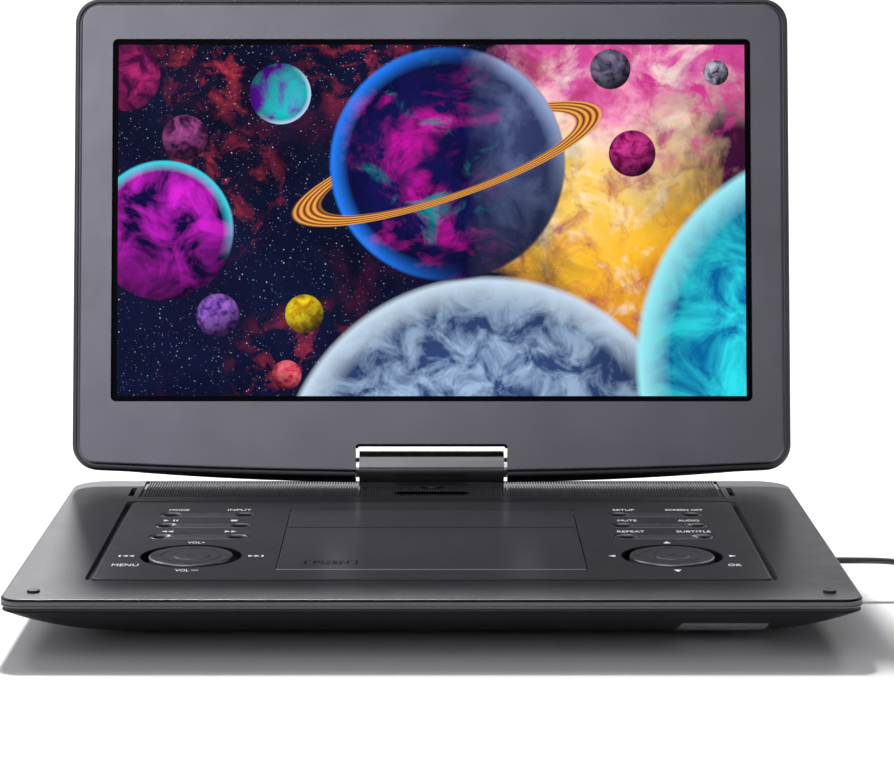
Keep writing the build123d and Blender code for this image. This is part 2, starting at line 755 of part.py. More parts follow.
main_board_z = 7
with BuildPart() as main_board:
    with BuildSketch(deck.offset(main_board_z)):
        with Locations((115, 0)):
            Rectangle(58, 112)
    extrude(amount=board_thickness + 0.2)
    with BuildSketch(deck.offset(main_board_z + board_thickness + 0.2)):
        with Locations((108, 8)):
            Rectangle(20, 20)
        with Locations((122, -28), (102, -30)):
            Rectangle(10, 14)
    extrude(amount=1.8)
    with BuildSketch(deck.offset(hull_floor)):
        with Locations((90, -50), (140, -50), (90, 50), (140, 50)):
            Circle(2.2)
    extrude(amount=main_board_z - hull_floor)
save(main_board, "main_board")

with BuildPart() as battery_pack:
    with BuildSketch(deck.offset(hull_floor + 0.1)):
        with Locations((-112, 0)):
            RectangleRounded(52, 112, 3)
    extrude(amount=11.4)
    fillet(battery_pack.edges().group_by(Axis.Z)[-1], 1.5)
save(battery_pack, "battery_pack")

# ---------------------------------------------------------------- side ports
port_z = cord_z
headphone_y = 32
av_y = 16
dc_y = 45
switch_y = 24
data_y = -2
card_y = -36
jack_nozzle_radius = 3.1
jack_bore_radius = 1.8
dc_nozzle_radius = 3.7
jack_bore_depth = 13
switch_travel = 4
port_panel_thickness = 2


def port_plane(side, port_y, outward=0):
    """Plane at a side port's centre, facing outwards, the given distance out of the port panel's face."""
    return Plane(
        (side * (pocket_wall_x + outward), base_y + port_y, port_z), x_dir=(0, side, 0), z_dir=(side, 0, 0)
    )


for side, side_name in ((1, "right"), (-1, "left")):
    with BuildPart() as port_panel:
        with BuildSketch(deck.offset(pocket_floor)):
            with Locations((side * (pocket_wall_x - port_panel_thickness / 2), 0)):
                Rectangle(port_panel_thickness, 2 * pocket_half_length - 0.4)
        extrude(amount=hull_top - pocket_floor)
        with BuildSketch(deck.offset(hull_top)):
            with Locations((side * (pocket_wall_x - port_panel_thickness + 6.1), 0)):
                Rectangle(12.2, 2 * pocket_half_length - 0.4)
        extrude(amount=1.5)
        if side > 0:
            for jack_y in (headphone_y, av_y):
                with BuildSketch(port_plane(side, jack_y)):
                    Circle(jack_nozzle_radius + running_gap)
                extrude(amount=-port_panel_thickness, mode=Mode.SUBTRACT)
            with BuildSketch(port_plane(side, cord_y)):
                Rectangle(12.4, 4.4)
            extrude(amount=-port_panel_thickness, mode=Mode.SUBTRACT)
        else:
            with BuildSketch(port_plane(side, dc_y)):
                Circle(dc_nozzle_radius + running_gap)
            extrude(amount=-port_panel_thickness, mode=Mode.SUBTRACT)
            with BuildSketch(port_plane(side, switch_y)):
                Rectangle(9.2, 3.2)
            extrude(amount=-port_panel_thickness, mode=Mode.SUBTRACT)
            with BuildSketch(port_plane(side, data_y)):
                Rectangle(14.4, 6.6)
            extrude(amount=-port_panel_thickness, mode=Mode.SUBTRACT)
            with BuildSketch(port_plane(side, card_y)):
                Rectangle(28, 4.2)
            extrude(amount=-port_panel_thickness, mode=Mode.SUBTRACT)
    save(port_panel, f"port_panel_{side_name}")

with BuildPart() as audio_jacks:
    for jack_y in (headphone_y, av_y):
        with BuildSketch(port_plane(1, jack_y, -port_panel_thickness)):
            Rectangle(8, 7)
        extrude(amount=-12)
        with BuildSketch(port_plane(1, jack_y, 0.3)):
            Circle(jack_nozzle_radius)
        extrude(amount=-port_panel_thickness - 0.3)
        with BuildSketch(port_plane(1, jack_y, 0.3)):
            Circle(jack_bore_radius)
        extrude(amount=-jack_bore_depth, mode=Mode.SUBTRACT)
save(audio_jacks, "audio_jacks")

with BuildPart() as video_socket:
    with BuildSketch(port_plane(1, cord_y, 0.2)):
        Rectangle(12.4, 4.4)
    extrude(amount=-9)
    with BuildSketch(port_plane(1, cord_y, 0.2)):
        Rectangle(11.4, 3.4)
    extrude(amount=-8, mode=Mode.SUBTRACT)
save(video_socket, "video_socket")

with BuildPart() as dc_jack:
    with BuildSketch(port_plane(-1, dc_y, -port_panel_thickness)):
        Rectangle(9, 7.6)
    extrude(amount=-11)
    with BuildSketch(port_plane(-1, dc_y, 0.2)):
        Circle(dc_nozzle_radius)
    extrude(amount=-port_panel_thickness - 0.2)
    with BuildSketch(port_plane(-1, dc_y, 0.2)):
        Circle(2.75)
        Circle(1, mode=Mode.SUBTRACT)
    extrude(amount=-9.5, mode=Mode.SUBTRACT)
save(dc_jack, "dc_jack")

with BuildPart() as data_socket:
    with BuildSketch(port_plane(-1, data_y, 0.2)):
        Rectangle(14.4, 6.6)
    extrude(amount=-15)
    with BuildSketch(port_plane(-1, data_y, 0.2)):
        Rectangle(13.2, 5.4)
        with Locations((0, 0.9)):
            Rectangle(11.4, 1.8, mode=Mode.SUBTRACT)
    extrude(amount=-12, mode=Mode.SUBTRACT)
save(data_socket, "data_socket")

with BuildPart() as card_slot:
    with BuildSketch(port_plane(-1, card_y, 0.2)):
        Rectangle(28, 4.2)
    extrude(amount=-26)
    with BuildSketch(port_plane(-1, card_y, 0.2)):
        Rectangle(25, 2.4)
    extrude(amount=-23, mode=Mode.SUBTRACT)
save(card_slot, "card_slot")

with BuildPart() as power_switch:
    with BuildSketch(port_plane(-1, switch_y, -port_panel_thickness - 0.1)):
        with Locations((switch_travel / 2, 0)):
            Rectangle(4.6, 2.6)
    extrude(amount=port_panel_thickness + 1.3)
    with BuildSketch(port_plane(-1, switch_y, -port_panel_thickness - 0.1)):
        with Locations((switch_travel / 2, 0)):
            Rectangle(11, 5.6)
    extrude(amount=-1.2)
save(power_switch, "power_switch")

# ---------------------------------------------------------------- lead: plug, cord, coil, connector
relief_end = 199.5
overmould_end = 192
with BuildPart() as cable_plug:
    with BuildSketch(port_plane(1, cord_y, -5.5)):
        RectangleRounded(11.0, 3.0, 0.4)
    extrude(amount=6.1)
    with BuildSketch(port_plane(1, cord_y, 0.6)):
        RectangleRounded(15, 6.2, 2)
    extrude(amount=overmould_end - pocket_wall_x - 0.6)
    fillet(cable_plug.faces().sort_by(Axis.X)[-1].edges(), 0.8)
    with BuildSketch(port_plane(1, cord_y, overmould_end - pocket_wall_x)):
        Circle(2.9)
    with BuildSketch(port_plane(1, cord_y, relief_end - pocket_wall_x)):
        Circle(cord_diameter / 2 + 0.6)
    loft()
save(cable_plug, "cable_plug")

cord_radius = cord_diameter / 2
cord_lie = cord_radius + 0.05
cord_row_y = base_y + cord_y
coil_pitch = cord_diameter + 0.1
coil_mean_radius = coil_turn_diameter / 2
coil_outer_turn = coil_mean_radius + coil_pitch * (coil_columns - 1) / 2
coil_x = 276
route_end_y = cord_row_y - 1.9
coil_y = route_end_y - coil_outer_turn
coil_height = coil_layers * coil_pitch
route = [
    (relief_end, cord_row_y, cord_z),
    (208, cord_row_y, cord_z - 0.02),
    (221, cord_row_y - 0.05, cord_z - 0.35),
    (234, cord_row_y - 0.1, cord_z - 2.1),
    (245, cord_row_y - 0.4, cord_z - 7.2),
    (254, cord_row_y - 0.9, cord_z - 12.6),
    (264, cord_row_y - 1.4, cord_lie),
    (coil_x, route_end_y, cord_lie),
]


def corner_radii(points):
    """Largest smooth radius at each inner point: 0.45 of the shorter run over tan(half the turn)."""
    radii = []
    for before, here, after in zip(points, points[1:], points[2:]):
        run_in = Vector(*here) - Vector(*before)
        run_out = Vector(*after) - Vector(*here)
        half_turn = math.radians(run_in.get_angle(run_out)) / 2
        radii.append(0.45 * min(run_in.length, run_out.length) / math.tan(half_turn))
    return radii


route_radii = corner_radii(route)
print("cord corner radii:", [round(radius, 1) for radius in route_radii])
with BuildPart() as cable_cord:
    with BuildLine() as cord_path:
        FilletPolyline(*route, radius=route_radii)
    with BuildSketch(Plane(origin=route[0], z_dir=Vector(*route[1]) - Vector(*route[0]))):
        Circle(cord_radius)
    sweep(path=cord_path.wires()[0])
cord_run = cord_path.wires()[0].length
tube_volume = cable_cord.part.volume
cord_section = math.pi * cord_radius ** 2
print("cord tube volume over section x length:", round(tube_volume / (cord_section * cord_run), 4))

# the coil's last turn leaves towards the front, and its short tail ends in the connector
tail_start = Vector(coil_x + coil_outer_turn, coil_y - 3, cord_lie)
tail_end = Vector(coil_x + coil_outer_turn + 1.5, coil_y - 17, 3.3)
with BuildPart() as cord_tail:
    with BuildSketch(Plane(origin=tail_start, z_dir=tail_end - tail_start)):
        Circle(cord_radius)
    extrude(amount=(tail_end - tail_start).length)
with BuildPart() as cable_cord_pieces:
    add(cable_cord.part)
    add(cord_tail.part)
save(cable_cord_pieces, "cable_cord")

with BuildPart() as cable_coil:
    with BuildSketch(Plane((coil_x, coil_y, 0.05))):
        Circle(coil_outer_turn + cord_radius)
        Circle(coil_outer_turn - coil_pitch * (coil_columns - 1) - cord_radius, mode=Mode.SUBTRACT)
    extrude(amount=coil_height)
    fillet(cable_coil.edges(), 1.2)
save(cable_coil, "cable_coil")
coil_length = coil_columns * coil_layers * 2 * math.pi * coil_mean_radius
print("cord length:", round(cord_run + coil_length + (tail_end - tail_start).length, 1))

connector_frame = Plane(tail_end, x_dir=(1, 0, 0), z_dir=(0, -1, 0))
with BuildPart() as cable_connector:
    with BuildSketch(connector_frame):
        Circle(cord_radius + 0.3)
    with BuildSketch(connector_frame.offset(7)):
        Circle(2.7)
    loft()
    with BuildSketch(connector_frame.offset(7)):
        RectangleRounded(9.6, 6.4, 2)
    extrude(amount=15)
    with BuildSketch(connector_frame.offset(22)):
        RectangleRounded(6.7, 1.6, 0.6)
    extrude(amount=6.6)
save(cable_connector, "cable_connector")

# ---------------------------------------------------------------- hinge
post_bottom = 5.5
bushing_bottom = 8.5
bushing_top = cover_under - 1.5
foot_bottom = top + 0.3
foot_half_depth = 5.5
shaft_radius = 3.4
shaft_bore_depth = 12
pivot = (0, base_y + hinge_y)
with BuildPart() as hinge_yoke:
    with BuildSketch(Plane((*pivot, post_bottom))):
        Circle(post_radius)
    extrude(amount=foot_bottom - post_bottom)
    # foot that carries the barrel along its whole length, just clear of the deck
    with BuildSketch(Plane((*pivot, foot_bottom))):
        Rectangle(barrel_length, 2 * foot_half_depth)
    extrude(amount=axis_z - foot_bottom)
    with BuildSketch(
        Plane((-barrel_length / 2, base_y + hinge_y, axis_z), x_dir=(0, 1, 0), z_dir=(1, 0, 0))
    ):
        Circle(barrel_radius)
    extrude(amount=barrel_length)
    for side in (-1, 1):
        with BuildSketch(
            Plane((side * barrel_length / 2, base_y + hinge_y, axis_z), x_dir=(0, 1, 0), z_dir=(side, 0, 0))
        ):
            Circle(shaft_radius + running_gap)
        extrude(amount=-shaft_bore_depth, mode=Mode.SUBTRACT)
    with BuildSketch(Plane((*pivot, post_bottom))):
        Circle(3)
    extrude(amount=axis_z - post_bottom, mode=Mode.SUBTRACT)
save(hinge_yoke, "hinge_yoke")

with BuildPart() as hinge_end_caps:
    for side in (-1, 1):
        with BuildSketch(
            Plane((side * barrel_length / 2, base_y + hinge_y, axis_z), x_dir=(0, 1, 0), z_dir=(side, 0, 0))
        ):
            Circle(5.5)
            Circle(shaft_radius + running_gap, mode=Mode.SUBTRACT)
        extrude(amount=notch_half_width - barrel_length / 2 - 0.25)
save(hinge_end_caps, "hinge_end_caps")

with BuildPart() as swivel_bushing:
    with BuildSketch(Plane((*pivot, bushing_bottom))):
        Circle(post_radius + 2.2)
    extrude(amount=bushing_top - bushing_bottom)
    with BuildSketch(deck.offset(20.6)):
        with Locations((0, 119)):
            RectangleRounded(64, 22, 2)
    extrude(amount=2.3)
    with BuildSketch(Plane((*pivot, bushing_bottom))):
        Circle(post_radius + running_gap)
    extrude(amount=top, mode=Mode.SUBTRACT)
save(swivel_bushing, "swivel_bushing")

with BuildPart() as swivel_nut:
    with BuildSketch(Plane((*pivot, bushing_bottom - 2.4))):
        RegularPolygon(7.6, 6)
        Circle(post_radius + 0.02, mode=Mode.SUBTRACT)
    extrude(amount=2.2)
save(swivel_nut, "swivel_nut")

# ---------------------------------------------------------------- lid
lid_half_width = base_width / 2
lid_normal = Axis(lid_frame.origin, lid_frame.z_dir)
seam = lid_front - bezel_thickness
rim_top = lid_front - lid_rim_drop
bezel_flange = 1.2
mask_middle = mask_bottom + mask_height / 2
right_lid_screws = [(187, 60), (187, 210), (100, 248.6), (100, 15)]
lid_screw_places = [(side * x, up) for side in (-1, 1) for x, up in right_lid_screws]
lid_screw_head = 2.7
lid_screw_shank = 1.1
lid_head_seat = -lid_back + 1.9

with BuildSketch() as lid_outline:
    with BuildLine():
        Polyline(
            (-lid_half_width, lid_bow - lid_low),
            (-lid_half_width, lid_length),
            (lid_half_width, lid_length),
            (lid_half_width, lid_bow - lid_low),
        )
        ThreePointArc(
            (lid_half_width, lid_bow - lid_low), (0, -lid_low), (-lid_half_width, lid_bow - lid_low)
        )
    make_face()
    fillet(lid_outline.vertices(), lid_corner_radius)

with BuildPart() as lid_back_cover:
    with BuildSketch(lid_frame.offset(-lid_back)):
        add(lid_outline.sketch)
    extrude(amount=lid_back + rim_top)
    fillet(lid_back_cover.faces().sort_by(lid_normal)[0].edges(), 5)
    fillet(lid_back_cover.faces().sort_by(lid_normal)[-1].edges(), lid_rim - 0.4)
    with BuildSketch(lid_frame.offset(seam)):
        add(lid_outline.sketch)
        offset(amount=-lid_rim)
    extrude(amount=bezel_thickness, mode=Mode.SUBTRACT)
    with BuildSketch(lid_frame.offset(-lid_back + lid_wall)):
        add(lid_outline.sketch)
        offset(amount=-lid_wall)
        Rectangle(2 * (notch_half_width + lid_wall), 2 * (notch_top + lid_wall), mode=Mode.SUBTRACT)
    extrude(amount=lid_back + seam, mode=Mode.SUBTRACT)
    with BuildSketch(lid_frame.offset(-lid_back)):
        with Locations(*lid_screw_places):
            Circle(3.6)
    extrude(amount=lid_back + seam)
    with BuildSketch(lid_frame.offset(-lid_back + lid_wall)):
        with Locations((-150, 70), (150, 70), (-150, 200), (150, 200)):
            Circle(3)
    extrude(amount=lid_back - lid_wall + 1.5)
    with BuildSketch(lid_frame.offset(-lid_back)):
        RectangleRounded(2 * notch_half_width, 2 * notch_top, 2)
    extrude(amount=lid_back + lid_front, mode=Mode.SUBTRACT)
    with BuildSketch(lid_frame.offset(-lid_back)):
        with Locations(*lid_screw_places):
            Circle(lid_screw_head + 0.15)
    extrude(amount=lid_head_seat + lid_back, mode=Mode.SUBTRACT)
    with BuildSketch(lid_frame.offset(-lid_back)):
        with Locations(*lid_screw_places):
            Circle(lid_screw_shank + 0.1)
    extrude(amount=lid_back + seam, mode=Mode.SUBTRACT)
    with BuildSketch(
        Plane((-notch_half_width - 4, base_y + hinge_y, axis_z), x_dir=(0, 1, 0), z_dir=(1, 0, 0))
    ):
        Circle(shaft_radius + 0.2)
    extrude(amount=2 * notch_half_width + 8, mode=Mode.SUBTRACT)
save(lid_back_cover, "lid_back_cover")

with BuildPart() as lid_front_bezel:
    with BuildSketch(lid_frame.offset(seam)):
        add(lid_outline.sketch)
        offset(amount=-lid_rim - lid_rim_gap)
    extrude(amount=bezel_thickness)
    fillet(lid_front_bezel.faces().sort_by(lid_normal)[-1].edges(), 1.5)
    # flange under the groove round the bezel
    with BuildSketch(lid_frame.offset(seam)):
        add(lid_outline.sketch)
        offset(amount=-lid_rim - 0.1)
    extrude(amount=bezel_flange)
    with BuildSketch(lid_frame.offset(seam)):
        with Locations((0, mask_middle)):
            RectangleRounded(mask_width, mask_height, 3)
        RectangleRounded(2 * notch_half_width, 2 * notch_top, 2)
    extrude(amount=bezel_thickness, mode=Mode.SUBTRACT)
    with BuildSketch(lid_frame.offset(seam)):
        with Locations((0, mask_middle)):
            Rectangle(panel_width + 0.6, panel_height + 0.6)
    extrude(amount=2.2, mode=Mode.SUBTRACT)
    with BuildSketch(lid_frame.offset(seam)):
        with Locations(*lid_screw_places):
            Circle(lid_screw_shank + 0.05)
    extrude(amount=2.4, mode=Mode.SUBTRACT)
save(lid_front_bezel, "lid_front_bezel")

with BuildPart() as lcd_panel:
    with BuildSketch(lid_frame.offset(1.5)):
        with Locations((0, mask_middle)):
            Rectangle(panel_width, panel_height)
    extrude(amount=seam + 2.2 - 1.5)
save(lcd_panel, "lcd_panel")

with BuildPart() as display_board:
    with BuildSketch(lid_frame.offset(-4)):
        with Locations((-128, 17)):
            Rectangle(34, 20)
        with Locations((-80, 17)):
            Rectangle(28, 20)
    extrude(amount=1.4)
    with BuildSketch(lid_frame.offset(-lid_back + lid_wall)):
        with Locations((-141, 17), (-115, 17), (-90, 17), (-70, 17)):
            Circle(2)
    extrude(amount=lid_back - lid_wall - 4)
save(display_board, "display_board")

with BuildPart() as lid_screws:
    with BuildSketch(lid_frame.offset(lid_head_seat - 1.6)):
        with Locations(*lid_screw_places):
            Circle(lid_screw_head)
    extrude(amount=1.6)
    with BuildSketch(lid_frame.offset(lid_head_seat)):
        with Locations(*lid_screw_places):
            Circle(lid_screw_shank)
    extrude(amount=seam + 2.2 - lid_head_seat)
    with BuildSketch(lid_frame.offset(lid_head_seat - 1.6)):
        with Locations(*lid_screw_places):
            Rectangle(3.2, 0.7)
            Rectangle(0.7, 3.2)
    extrude(amount=0.9, mode=Mode.SUBTRACT)
save(lid_screws, "lid_screws")

leaf_near = -lid_back + lid_wall
with BuildPart() as hinge_leaves:
    for side in (-1, 1):
        with BuildSketch(
            Plane(
                (side * (barrel_length / 2 - shaft_bore_depth + 0.5), base_y + hinge_y, axis_z),
                x_dir=(0, 1, 0), z_dir=(side, 0, 0),
            )
        ):
            Circle(shaft_radius)
        extrude(amount=30)
    with BuildSketch(lid_frame.offset(leaf_near)):
        with Locations((-53, 30), (53, 30)):
            RectangleRounded(14, 66, 2)
    extrude(amount=1.6)
    with BuildSketch(lid_frame.offset(leaf_near)):
        with Locations((-53, 0), (53, 0)):
            Rectangle(10, 6)
    extrude(amount=-leaf_near)
save(hinge_leaves, "hinge_leaves")
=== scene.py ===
"""Looks of the portable disc player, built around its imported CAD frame. Metres, Z up."""
import json
import math

import bmesh
import bpy
from mathutils import Matrix, Vector


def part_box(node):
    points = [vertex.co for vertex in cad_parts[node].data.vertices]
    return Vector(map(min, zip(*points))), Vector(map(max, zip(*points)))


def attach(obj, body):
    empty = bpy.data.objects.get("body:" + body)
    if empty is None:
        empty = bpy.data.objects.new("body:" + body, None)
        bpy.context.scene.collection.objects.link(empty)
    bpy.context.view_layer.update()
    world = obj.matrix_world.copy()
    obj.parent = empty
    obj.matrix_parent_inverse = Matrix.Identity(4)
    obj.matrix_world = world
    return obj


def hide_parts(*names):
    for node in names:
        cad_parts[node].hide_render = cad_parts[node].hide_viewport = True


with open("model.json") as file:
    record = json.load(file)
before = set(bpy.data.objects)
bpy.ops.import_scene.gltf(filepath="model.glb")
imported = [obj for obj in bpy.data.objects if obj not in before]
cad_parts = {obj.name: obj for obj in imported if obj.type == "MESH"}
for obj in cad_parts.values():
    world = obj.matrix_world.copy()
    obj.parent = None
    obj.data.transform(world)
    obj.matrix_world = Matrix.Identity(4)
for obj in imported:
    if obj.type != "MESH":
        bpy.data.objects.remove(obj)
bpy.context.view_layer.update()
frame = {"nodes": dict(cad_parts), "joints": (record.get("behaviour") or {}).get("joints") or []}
nodes = frame["nodes"]
MM = 0.001
LID_LEAN = 12.4            # degrees back from upright

# ------------------------------------------------------------------ places read from the frame
base_low, base_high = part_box("base_top_cover")
top_z = base_high.z
base_x = (base_low.x + base_high.x) / 2
base_y = (base_low.y + base_high.y) / 2
panel_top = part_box("control_panel")[1].z
joints = {joint["name"]: joint for joint in frame["joints"]}
tilt_pivot = Vector(joints["lid_tilt"]["pos_m"])
lean = math.radians(LID_LEAN)
lid_up = Vector((0, math.sin(lean), math.cos(lean)))
lid_out = Vector((0, -math.cos(lean), math.sin(lean)))


def on_base(x_mm, y_mm, above_top_mm=0.0):
    """A point given in millimetres from the base's centre, at a height above its top face."""
    return Vector((base_x + x_mm * MM, base_y + y_mm * MM, top_z + above_top_mm * MM))


def on_lid(x_mm, up_mm, out_mm):
    """A point given in millimetres from the tilt axis: across, up the lid and out of its face."""
    return tilt_pivot + Vector((x_mm * MM, 0, 0)) + lid_up * (up_mm * MM) + lid_out * (out_mm * MM)


# ------------------------------------------------------------------ camera
CAMERA_BACK = 1289.55      # mm in front of the base's centre
CAMERA_UP = 288.0          # mm above the top face
CAMERA_PITCH = 9.216       # degrees below the horizon
CAMERA_LENS = 105.69
CAMERA_SHIFT_X = 0.01723

scene = bpy.context.scene
camera_data = bpy.data.cameras.new("camera")
camera_data.sensor_width = 36
camera_data.lens = CAMERA_LENS
camera_data.shift_x = CAMERA_SHIFT_X
camera = bpy.data.objects.new("camera", camera_data)
camera.location = on_base(0, -CAMERA_BACK, CAMERA_UP)
camera.rotation_euler = (math.radians(90 - CAMERA_PITCH), 0, 0)
scene.collection.objects.link(camera)
scene.camera = camera

# ------------------------------------------------------------------ helpers


def link(name, data, body):
    """A new object for this data, riding on a body."""
    piece = bpy.data.objects.new(name, data)
    scene.collection.objects.link(piece)
    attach(piece, body)
    return piece


def finish_mesh(name, mesh_builder, body, material, smooth=True):
    """Turn a bmesh into a piece."""
    bmesh.ops.recalc_face_normals(mesh_builder, faces=mesh_builder.faces)
    data = bpy.data.meshes.new(name)
    mesh_builder.to_mesh(data)
    mesh_builder.free()
    data.materials.append(material)
    if smooth:
        data.polygons.foreach_set("use_smooth", [True] * len(data.polygons))
        data.set_sharp_from_angle(angle=math.radians(35))
    return link(name, data, body)


def paint(material, *node_names):
    """Give CAD nodes this material."""
    for node_name in node_names:
        slots = nodes[node_name].material_slots
        if not slots:
            nodes[node_name].data.materials.append(material)
        for material_slot in nodes[node_name].material_slots:
            material_slot.material = material


# ------------------------------------------------------------------ materials


class Shader:
    """A node material under construction, in object coordinates."""

    def __init__(self, name):
        self.material = bpy.data.materials.new(name)
        self.material.use_nodes = True
        self.tree = self.material.node_tree
        self.principled = self.tree.nodes["Principled BSDF"]
        self.coordinates = self.add("ShaderNodeTexCoord").outputs["Object"]

    def add(self, kind, **settings):
        """A new node, with these properties set."""
        node = self.tree.nodes.new(kind)
        for key, value in settings.items():
            setattr(node, key, value)
        return node

    def join(self, output, socket):
        """Link an output to an input."""
        self.tree.links.new(output, socket)

    def set(self, **values):
        """Set the shader's own sockets, named with _ for a space."""
        for key, value in values.items():
            self.principled.inputs[key.replace("_", " ")].default_value = value

    def noise(self, scale, detail=3.0, roughness=0.5, stretch=(1, 1, 1)):
        """Soft noise over the object."""
        mapping = self.add("ShaderNodeMapping")
        mapping.inputs["Scale"].default_value = stretch
        self.join(self.coordinates, mapping.inputs["Vector"])
        node = self.add("ShaderNodeTexNoise")
        node.inputs["Scale"].default_value = scale
        node.inputs["Detail"].default_value = detail
        node.inputs["Roughness"].default_value = roughness
        self.join(mapping.outputs["Vector"], node.inputs["Vector"])
        return node.outputs["Fac"]

    def ramp(self, value, low, high, low_at=0.3, high_at=0.7):
        """A straight change from low to high, while the value goes from low_at to high_at."""
        node = self.add("ShaderNodeMapRange")
        node.inputs["From Min"].default_value = low_at
        node.inputs["From Max"].default_value = high_at
        node.inputs["To Min"].default_value = low
        node.inputs["To Max"].default_value = high
        self.join(value, node.inputs["Value"])
        return node.outputs["Result"]

    def blend(self, value, low_color, high_color):
        """A mix of two colours, the second where the value is 1."""
        node = self.add("ShaderNodeMix", data_type="RGBA")
        node.inputs["A"].default_value = (*low_color, 1)
        node.inputs["B"].default_value = (*high_color, 1)
        self.join(value, node.inputs["Factor"])
        return node.outputs["Result"]

    def math(self, operation, *values):
        """A maths node over sockets or numbers."""
        node = self.add("ShaderNodeMath", operation=operation)
        for socket, value in zip(node.inputs, values):
            if isinstance(value, (int, float)):
                socket.default_value = value
            else:
                self.join(value, socket)
        return node.outputs["Value"]

    def vector_math(self, operation, vector, other):
        """A vector maths node over a socket and a constant vector. Gives its vector and its value."""
        node = self.add("ShaderNodeVectorMath", operation=operation)
        self.join(vector, node.inputs[0])
        node.inputs[1].default_value = other
        return node.outputs[0], node.outputs[1]

    def layer(self, below, above, mask):
        """One colour over another where the mask is 1."""
        node = self.add("ShaderNodeMix", data_type="RGBA")
        for socket, value in (("Factor", mask), ("A", below), ("B", above)):
            if isinstance(value, tuple):
                node.inputs[socket].default_value = (*value, 1)
            else:
                self.join(value, node.inputs[socket])
        return node.outputs["Result"]

    def rounding(self):
        """1 on faces that lean between level and upright, as a fillet's do, else 0."""
        normal = self.add("ShaderNodeTexCoord").outputs["Normal"]
        lean_along = self.vector_math("DOT_PRODUCT", normal, (0, 0, 1))[1]
        return self.math(
            "MULTIPLY", self.ramp(lean_along, 0, 1, 0.12, 0.3), self.ramp(lean_along, 1, 0, 0.9, 0.985)
        )

    def upright_faces(self):
        """1 on upright faces, else 0."""
        normal = self.add("ShaderNodeTexCoord").outputs["Normal"]
        lean_along = self.math("ABSOLUTE", self.vector_math("DOT_PRODUCT", normal, (0, 0, 1))[1])
        return self.ramp(lean_along, 1, 0, 0.05, 0.14)

    def flat_normal(self):
        """The shading normal, but the face's own on level faces, which a fillet's smoothing would tilt."""
        geometry = self.add("ShaderNodeNewGeometry")
        level = self.vector_math("DOT_PRODUCT", geometry.outputs["True Normal"], (0, 0, 1))[1]
        node = self.add("ShaderNodeMix", data_type="VECTOR")
        factor, smoothed, own = node.inputs[0], node.inputs[4], node.inputs[5]
        self.join(self.ramp(level, 0, 1, 0.985, 0.995), factor)
        self.join(geometry.outputs["Normal"], smoothed)
        self.join(geometry.outputs["True Normal"], own)
        return node.outputs[1]

    def bump(self, height, strength, distance, level=False):
        """Relief from a height. With level, level faces keep their own normal under it."""
        node = self.add("ShaderNodeBump")
        if level:
            self.join(self.flat_normal(), node.inputs["Normal"])
        node.inputs["Strength"].default_value = strength
        node.inputs["Distance"].default_value = distance
        self.join(height, node.inputs["Height"])
        self.join(node.outputs["Normal"], self.principled.inputs["Normal"])


LID_LOW = 6.1              # mm, the lid's near edge below the tilt axis at its middle
LID_BOW = 5.2              # mm, how much that edge rises towards the corners
FADE_START = 0.6           # mm above that edge, where the lid's colour starts to come up from its painted shade of near black
FADE_END = 5.5
PIT_START = 0.12           # mm below the rim, where the painted shade in a pit starts to turn it black
PIT_END = 0.9
# painted shade: the black of recesses and dished key ends
PAINTED_PIT_SHADE = (0.003, 0.003, 0.0035)
# painted shade: near black at the lid's near edge, where it turns under
PAINTED_UNDER_SHADE = (0.004, 0.004, 0.005)
SHADE_SCALE = 22           # noise scales, per metre
PATCH_SCALE = 90
GRAIN_HEIGHT = 0.00004     # m


